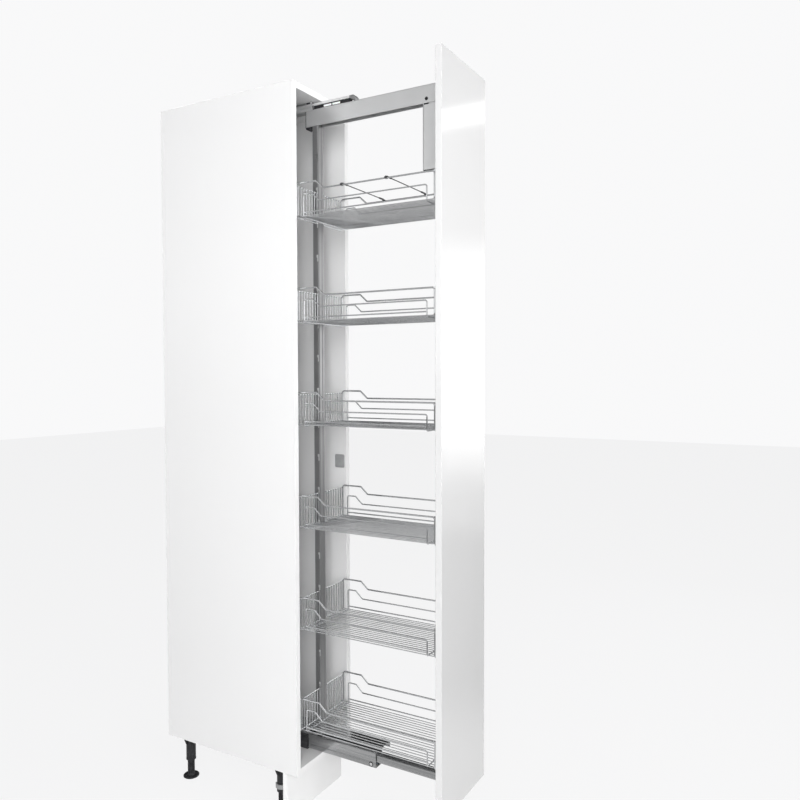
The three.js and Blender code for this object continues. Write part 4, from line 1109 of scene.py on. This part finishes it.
# %% Guide profiles
GAP_INSET, GAP_UNDER, GAP_OVER = 7, 2266.6, 2272.4
guide_half = [(16.2, 2273.9), (16.2, 2258.4), (14.4, 2256.4), (14.4, 2246)]
guide = along("top_guide_fixed", sheet(mirrored(guide_half), 1.6, 2.2), "Y")
guide_front, guide_back = [corner[1] for corner in span("top_guide_fixed")]
gap = plate((guide_front + GAP_INSET, GAP_UNDER), (guide_back - GAP_INSET, GAP_OVER), 1.6)
gaps = [pushed("gap", gap, "X", *xs) for xs in ((-20, -12), (12, 20))]
dress(soften(cut(guide, *gaps), 0.15, 1), satin, "carcass", "top_guide_fixed")
guide_screws = row(screw("guide_screws", (0, 285, 2273.25), "Z", 3.4, 0.35), 3, (0, 110, 0))
dress(guide_screws, zinc, "carcass")

slider = along("top_guide_middle", sheet(mirrored([(11.2, 2268.2), (11.2, 2261)]), 1.6, 1.8), "Y")
dress(soften(slider, 0.15, 1), pale_zinc, "top_middle_guide", "top_guide_middle")

# %% [markdown]
# Two plastic saddles keep the profiles apart: one stays at the fixed profile's mouth, one rides on
# the sliding profile. A dull grey end piece, with a sloping underside, closes that one in front.

# %% Bushes and end cap
def make_bush(name, body):
    half = [(15.1, 2272.8), (15.1, 2260.2), (12.5, 2260.2), (12.5, 2269.5)]
    dress(soften(along(name, mirrored(half), "Y"), 0.3), black_plastic, body, name)


make_bush("top_guide_front_bush", "carcass")
make_bush("top_guide_riding_bush", "top_middle_guide")
(_, front, under), (_, rear, top) = span("top_guide_end_cap")
stop = [(front, under), (rear, under + 10), (rear, top), (front + 7, top), (front, under + 10)]
stop = soften(along("top_guide_end_cap", stop, "X"), 0.8, 3)
dress(stop, zinc, "top_middle_guide", "top_guide_end_cap")

# %% [markdown]
# The black carriage stands on the top rail. It has two windows with white pads in them, and its two
# flanged rollers run between the sliding profile's flanges.

# %% Carriage and rollers
WINDOW_STEP = (0, 33.5, 0)
carriage = soften(block("guide_carriage", *span("guide_carriage")), 0.7, 3)
windows = row(block("window", (-12, -78.5, 2251.8), (12, -47.5, 2258.7)), 2, WINDOW_STEP)
dress(cut(carriage, windows), black_plastic, "pull_out_frame", "guide_carriage")
pads = row(soften(block("pad", (-8.9, -77.8, 2252), (8.9, -48.2, 2258.5)), 0.6), 2, WINDOW_STEP)
pads.name = "carriage_pads"
dress(pads, white_nylon, "pull_out_frame")


def make_roller(name, body):
    """A pin and a flanged disc in one profile, from the roller's foot up."""
    x, y, _ = centre_of(name)
    profile = [(0, 0), (1.7, 0), (2, 0.3), (2, 7), (9.2, 7), (9.8, 7.6), (9.8, 10.4), (9.2, 11),
               (4, 11), (3.6, 10.4), (0, 10.4)]
    dress(turned(name, profile, (x, y, span(name)[0][2]), "Z", 40), nylon, body, name)


make_roller("guide_roller_back", "roller_back")
make_roller("guide_roller_front", "roller_front")

# %% [markdown]
# ## The pull-out frame
# The top rail is a channel bent from sheet, open below, with a satin coat. A plastic cap with a
# flange closes its back end. The rail is one bent section, and the cap is three softened blocks:
# joined pieces are enough where nothing has to flow from one into the other.

# %% Top rail
RAIL_UNDER, RAIL_TOP = [corner[2] for corner in span("top_rail")]
FLANGE, FLANGE_GAP = 2.3, 0.2
low, high = span("top_rail_end_cap")
flange_front = high[1] - FLANGE
rail_path = mirrored([(12.5, RAIL_TOP - 1), (12.5, RAIL_UNDER)])
rail = pushed("top_rail", sheet(rail_path, 2, 3.4), "Y", FRAME_FRONT, flange_front - FLANGE_GAP)
dress(soften(rail, 0.25), satin, "pull_out_frame", "top_rail")
plug = soften(block("plug", (low[0], low[1], RAIL_UNDER + 0.5), (high[0], high[1] - 1.5, high[2])), 0.8)
flange = plate((-13.5, RAIL_UNDER - 3), (13.5, RAIL_TOP), 3.4)
flange = soften(pushed("flange", flange, "Y", flange_front, high[1]), 0.7)
hook = [(low[1], RAIL_UNDER + 1), (low[1] + 2, RAIL_UNDER - 4), (high[1] - 5.5, low[2]),
        (high[1], RAIL_UNDER - 5), (high[1], RAIL_UNDER + 1)]
hook = soften(pushed("hook", hook, "X", low[0], high[0]), 0.8)
dress(joined("cap", plug, flange, hook), black_plastic, "pull_out_frame", "top_rail_end_cap")
_, screw_y, screw_z = centre_of("top_rail_screw")
rail_screw = screw("top_rail_screw", (-13.8, screw_y, screw_z), "X", 5, 1.8)
dress(rail_screw, black_steel, "pull_out_frame", "top_rail_screw")

# %% [markdown]
# The uprights are channels with a column of slots in which the baskets hang. On the real unit a
# press punches them at an even step; here one cutter is drawn, a tree repeats it, and a single
# Boolean cuts them all. The rear upright has a slot every third of the baskets' distance.

# %% Rear upright
LOWEST_BASKET = span("basket_6")[0][2]
BASKET_PITCH = span("basket_5")[0][2] - LOWEST_BASKET
SLOT_STEP, REAR_SLOT_RISE, SLOT_HEIGHT, SLOTLESS_END = BASKET_PITCH / 3, 95.7, 22, 30
POST_LOW, POST_TOP = [corner[2] for corner in span("rear_upright")]
post_half = [(3.2, 5.9), (4.6, 4.5), (14, 4.5), (14, 25)]
post = along("rear_upright", sheet(mirrored(post_half), 2, 4), "Z")
first = LOWEST_BASKET + REAR_SLOT_RISE - SLOT_STEP
levels = int((POST_TOP - SLOTLESS_END - first) / SLOT_STEP) + 1
hook_hole = rounded([(5.8, first), (10.4, first), (10.4, first + 12), (13.4, first + 15),
                     (13.4, first + SLOT_HEIGHT), (5.8, first + SLOT_HEIGHT)], 2.2, closed=True)
slots = row(pushed("slot", hook_hole, "X", -20, 20), levels, (0, 0, SLOT_STEP))
dress(soften(cut(post, slots), 0.2, 1), upright_painted_shade, "pull_out_frame", "rear_upright")
print("slots in the rear upright", levels)

low, high = span("rear_upright_foot")
foot = joined("rear_upright_foot", soften(block("tongue", (-6, *low[1:]), (6, *high[1:])), 0.6),
              soften(block("body", (low[0], low[1], POST_LOW), high), 0.6))
dress(foot, zinc, "pull_out_frame", "rear_upright_foot")
splice = soften(block("rear_upright_splice", *span("rear_upright_splice")), 0.6)
dress(splice, zinc, "pull_out_frame", "rear_upright_splice")

# %% [markdown]
# The front upright stands behind the front panel and takes the baskets' front hooks: one slot for
# each basket is enough here. It is made as the rear one is, from a flatter section.

# %% Front upright
FRONT_SLOT_RISE, BASKETS = 65.7, 6
front_half = [(3.4, -479.6), (4.6, -480.95), (14.25, -480.95), (14.25, -474.2)]
front_post = along("front_upright", sheet(mirrored(front_half), 1.5, 1.8), "Z")
front_low = LOWEST_BASKET + FRONT_SLOT_RISE
front_hole = plate((-478.7, front_low), (-475.2, front_low + SLOT_HEIGHT), 1.6)
front_slots = row(pushed("slot", front_hole, "X", -20, 20), BASKETS, (0, 0, BASKET_PITCH))
dress(soften(cut(front_post, front_slots), 0.15, 1), upright_painted_shade, "pull_out_frame", "front_upright")

# %% [markdown]
# Three straps clamp the front upright to the back of the front panel, each with four screws. One
# screw is drawn, and the row tree runs on it twice: once upwards, and once across.

# %% Straps
STRAP_BASE, STRAP_CROWN = -480.95, -473.15
strap_half = [(16.05, STRAP_CROWN), (16.05, STRAP_BASE), (40.05, STRAP_BASE)]
for node in ("front_panel_strap_1", "front_panel_strap_2", "front_panel_strap_3"):
    strap = along(node, sheet(mirrored(strap_half), 1.5, 1.6), "Z")
    head = screw("head", (-28, -480.3, centre_of(node)[2] - 10), "Y", 4, 1.9, 1)
    heads = row(row(head, 2, (0, 0, 20)), 2, (56, 0, 0))
    dress(joined(node, soften(strap, 0.3), heads), satin, "pull_out_frame", node)

# %% [markdown]
# A bracket folded from sheet ties the front end of the top rail to the front. Its broad lower part
# is closed by a lid, and a narrower tongue goes up into the rail. A small black lug sits beside it.

# %% Corner bracket
(_, BRACKET_FRONT, BRACKET_LOW), (_, BRACKET_BACK, TONGUE_TOP) = span("front_corner_bracket")
SHADOW_GAP = 4                           # between the wrap and the rail over it
WRAP_TOP, FOLD = POST_TOP - SHADOW_GAP, BRACKET_BACK - 1
wrap_path = sheet(mirrored([(13, FOLD), (13, BRACKET_FRONT)]), 2, 6)
wrap = soften(pushed("wrap", wrap_path, "Z", BRACKET_LOW, WRAP_TOP), 0.4, 3)
lid = soften(block("lid", (-12.6, BRACKET_FRONT, WRAP_TOP - 2), (12.6, FOLD, WRAP_TOP)), 0.3)
tongue_path = sheet(mirrored([(10.2, FOLD), (10.2, BRACKET_FRONT)]), 2, 2)
tongue = soften(pushed("tongue", tongue_path, "Z", WRAP_TOP - 1, TONGUE_TOP), 0.3)
bracket = joined("front_corner_bracket", wrap, lid, tongue)
dress(bracket, satin, "pull_out_frame", "front_corner_bracket")
lug = soften(block("corner_lug", (-14.2, -391, POST_TOP - 4.1), (-8, -377, POST_TOP + 0.2)), 0.5)
dress(lug, black_steel, "pull_out_frame")

# %% [markdown]
# The front is one tall board, lacquered all round. Its edges are rounded over before the lacquer
# goes on, so a wide Bevel with four steps makes the line of light along them.

# %% Front panel
panel = soften(block("front_panel", *span("front_panel")), 1.2, 4)
dress(panel, lacquer, "pull_out_frame", "front_panel")

# %% [markdown]
# ## The baskets
# A basket is all wire. A 5 mm wire makes the rim, its uprights and the first and last cross wires.
# A 4 mm wire makes the inner loop with two more cross wires, a low wire along each side, and the
# back bar, which is in halves whose ends hang in the upright's slots. A curve with a round section
# would make each wire too, but then every wire would be drawn: the tree only needs the bent paths.

# %% Rim and loop of a basket
RIM_WIRE, LOOP_WIRE, GRID_WIRE = 5, 4, 3
(_, HOOK_TIP, _), (HALF_X, BASKET_BACK, _) = span("basket_6")
RIM_X, LOOP_X = HALF_X - RIM_WIRE / 2, 117
REAR_Y, FRONT_Y, LOOP_BACK_Y, LOOP_FRONT_Y = BASKET_BACK - RIM_WIRE / 2, -467.5, -14.4, -440
NOTCH_X, RIM_FOOT, RIM_SIDE, RIM_REAR = 16.5, 2.5, 81.5, 105.5
LOOP_FOOT, LOOP_SIDE, LOOP_REAR, LOW_WIRE = 2, 48, 72, 16


def make_rim(z):
    side = [(REAR_Y, RIM_FOOT), (REAR_Y, RIM_REAR), (-64.9, RIM_REAR), (-91.9, RIM_SIDE),
            (FRONT_Y, RIM_SIDE), (FRONT_Y, RIM_FOOT)]
    left = [(-RIM_X, y, z + h) for y, h in side]
    right = [(RIM_X, y, z + h) for y, h in side[::-1]]
    notch = [(x, REAR_Y, z + RIM_FOOT) for x in (-NOTCH_X, NOTCH_X)]
    return wires("rim", [notch[0]] + left + right + [notch[1]], RIM_WIRE, 8)


def make_loop(z):
    side = [(LOOP_BACK_Y, LOOP_FOOT), (LOOP_BACK_Y, LOOP_REAR), (-46.4, LOOP_REAR),
            (-72.4, LOOP_SIDE), (LOOP_FRONT_Y, LOOP_SIDE), (LOOP_FRONT_Y, LOOP_FOOT)]
    path = [(-LOOP_X, y, z + h) for y, h in side] + [(LOOP_X, y, z + h) for y, h in side[::-1]]
    low = wire("low", (-LOOP_X, LOOP_BACK_Y, z + LOW_WIRE), (-LOOP_X, LOOP_FRONT_Y, z + LOW_WIRE),
               LOOP_WIRE, 2, (2 * LOOP_X, 0, 0))
    return [wires("loop", path, LOOP_WIRE, 6, closed=True), low]


print("basket rim at", RIM_SIDE, "and", RIM_REAR, "mm over its floor")

# %% [markdown]
# Eighteen 3 mm wires run from the back bar down, along the floor and up to the front bar: they are
# one bent path that the tree repeats. Two of them stop short of the upright. The hooks at the front
# are flat steel, so they are outlines pushed sideways.

# %% Grid and bars of a basket
GRID_X, GRID_FLOOR, GRID_BEND, GRID_GAPS, SIDE_WIRES = 117.2, 5.2, 5, 17, 8
BACK_BAR, HOOK_FOOT, HOOK_SHOULDER = 98, 66, 74
GRID_STEP = 2 * GRID_X / GRID_GAPS


def make_grid(z):
    """Eight wires at each side, and two short ones in the middle."""
    top, back_y, front_y = z + GRID_FLOOR, REAR_Y - 3.2, FRONT_Y + 3.7
    full = [(-GRID_X, back_y, z + 99.6), (-GRID_X, back_y, top), (-GRID_X, front_y, top),
            (-GRID_X, front_y, z + 83.4)]
    step = (GRID_STEP, 0, 0)
    left = wires("left", full, GRID_WIRE, GRID_BEND, SIDE_WIRES, step)
    shift = (SIDE_WIRES + 2) * GRID_STEP
    right = wires("right", [(x + shift, y, h) for x, y, h in full], GRID_WIRE, GRID_BEND, SIDE_WIRES, step)
    shift = SIDE_WIRES * GRID_STEP
    short = [(-GRID_X + shift, LOOP_BACK_Y + 1.5, top)] + [(x + shift, y, h) for x, y, h in full[2:]]
    return [left, right, wires("middle", short, GRID_WIRE, GRID_BEND, 2, step)]


def make_bars(z):
    high = z + BACK_BAR
    back = [wire("bar", (side * 9, REAR_Y, high), (side * HALF_X, REAR_Y, high), LOOP_WIRE)
            for side in (-1, 1)]
    front = wire("bar", (-HALF_X, FRONT_Y, z + RIM_SIDE), (HALF_X, FRONT_Y, z + RIM_SIDE), RIM_WIRE)
    outline = [(HOOK_TIP, z + HOOK_FOOT), (-467.8, z + HOOK_FOOT), (-467.8, z + 82), (-471, z + 82),
               (-474, z + HOOK_SHOULDER), (HOOK_TIP, z + HOOK_SHOULDER)]
    hooks = [soften(pushed("hook", outline, "X", *xs), 0.5) for xs in ((-18.6, -15.6), (15.6, 18.6))]
    fingers = [block("finger", (left, HOOK_TIP, z + HOOK_FOOT), (right, HOOK_TIP + 2.5, z + HOOK_SHOULDER))
               for left, right in ((-16, -9.5), (9.5, 16))]
    return back + [front] + hooks + fingers


print("grid wires every", round(GRID_STEP, 2), "mm")

# %% [markdown]
# The six baskets are alike, so a loop makes them, from the lowest up. The wires of one basket are
# joined into one piece, because they are welded together and move as one.

# %% All six baskets
WIRE_CREASE = 50                         # a round wire of ten sides stays smooth
for name in [f"basket_{i}" for i in range(BASKETS, 0, -1)]:
    z = span(name)[0][2]
    parts = [make_rim(z)] + make_loop(z) + make_grid(z) + make_bars(z)
    dress(joined(name, *parts), chrome, name, name, crease=WIRE_CREASE)

# %% [markdown]
# The dividers slide along the top basket's rims: each is a thin rod with a sleeve at both ends and
# a narrow saddle over each rim wire. The saddle is drawn as bent sheet, one side from the other's
# mirrored numbers, so that both ends match.

# %% Dividers of the top basket
RIM_TOP = span("basket_1")[0][2] + RIM_SIDE + RIM_WIRE / 2
ROD_RISE, SADDLE_RISE, SADDLE_DROP, SADDLE_HALF = 2.3, 1.3, 5, 3.5


def make_divider(name, body):
    y = centre_of(name)[1]
    rod = wire("rod", (-HALF_X, y, RIM_TOP + ROD_RISE), (HALF_X, y, RIM_TOP + ROD_RISE), GRID_WIRE)
    outer, inner, crown, foot = HALF_X + 1.3, HALF_X - 6.3, RIM_TOP + SADDLE_RISE, RIM_TOP - SADDLE_DROP
    sleeve = [(0, 92), (2, 92), (2.7, 92.8), (2.7, 117), (2, 118), (0, 118)]
    parts = [rod]
    for side in (-1, 1):
        path = [(side * outer, foot), (side * outer, crown), (side * inner, crown), (side * inner, foot)]
        saddle = pushed("saddle", sheet(path, 2, 2.2), "Y", y - SADDLE_HALF, y + SADDLE_HALF)
        centre = (0, y, RIM_TOP + ROD_RISE)
        parts += [soften(saddle, 0.4), turned("sleeve", [(r, side * x) for r, x in sleeve], centre, "X", 16)]
    dress(joined(name, *parts), dark_wire, body, name, crease=WIRE_CREASE)


make_divider("basket_divider_1", "divider_1")
make_divider("basket_divider_2", "divider_2")
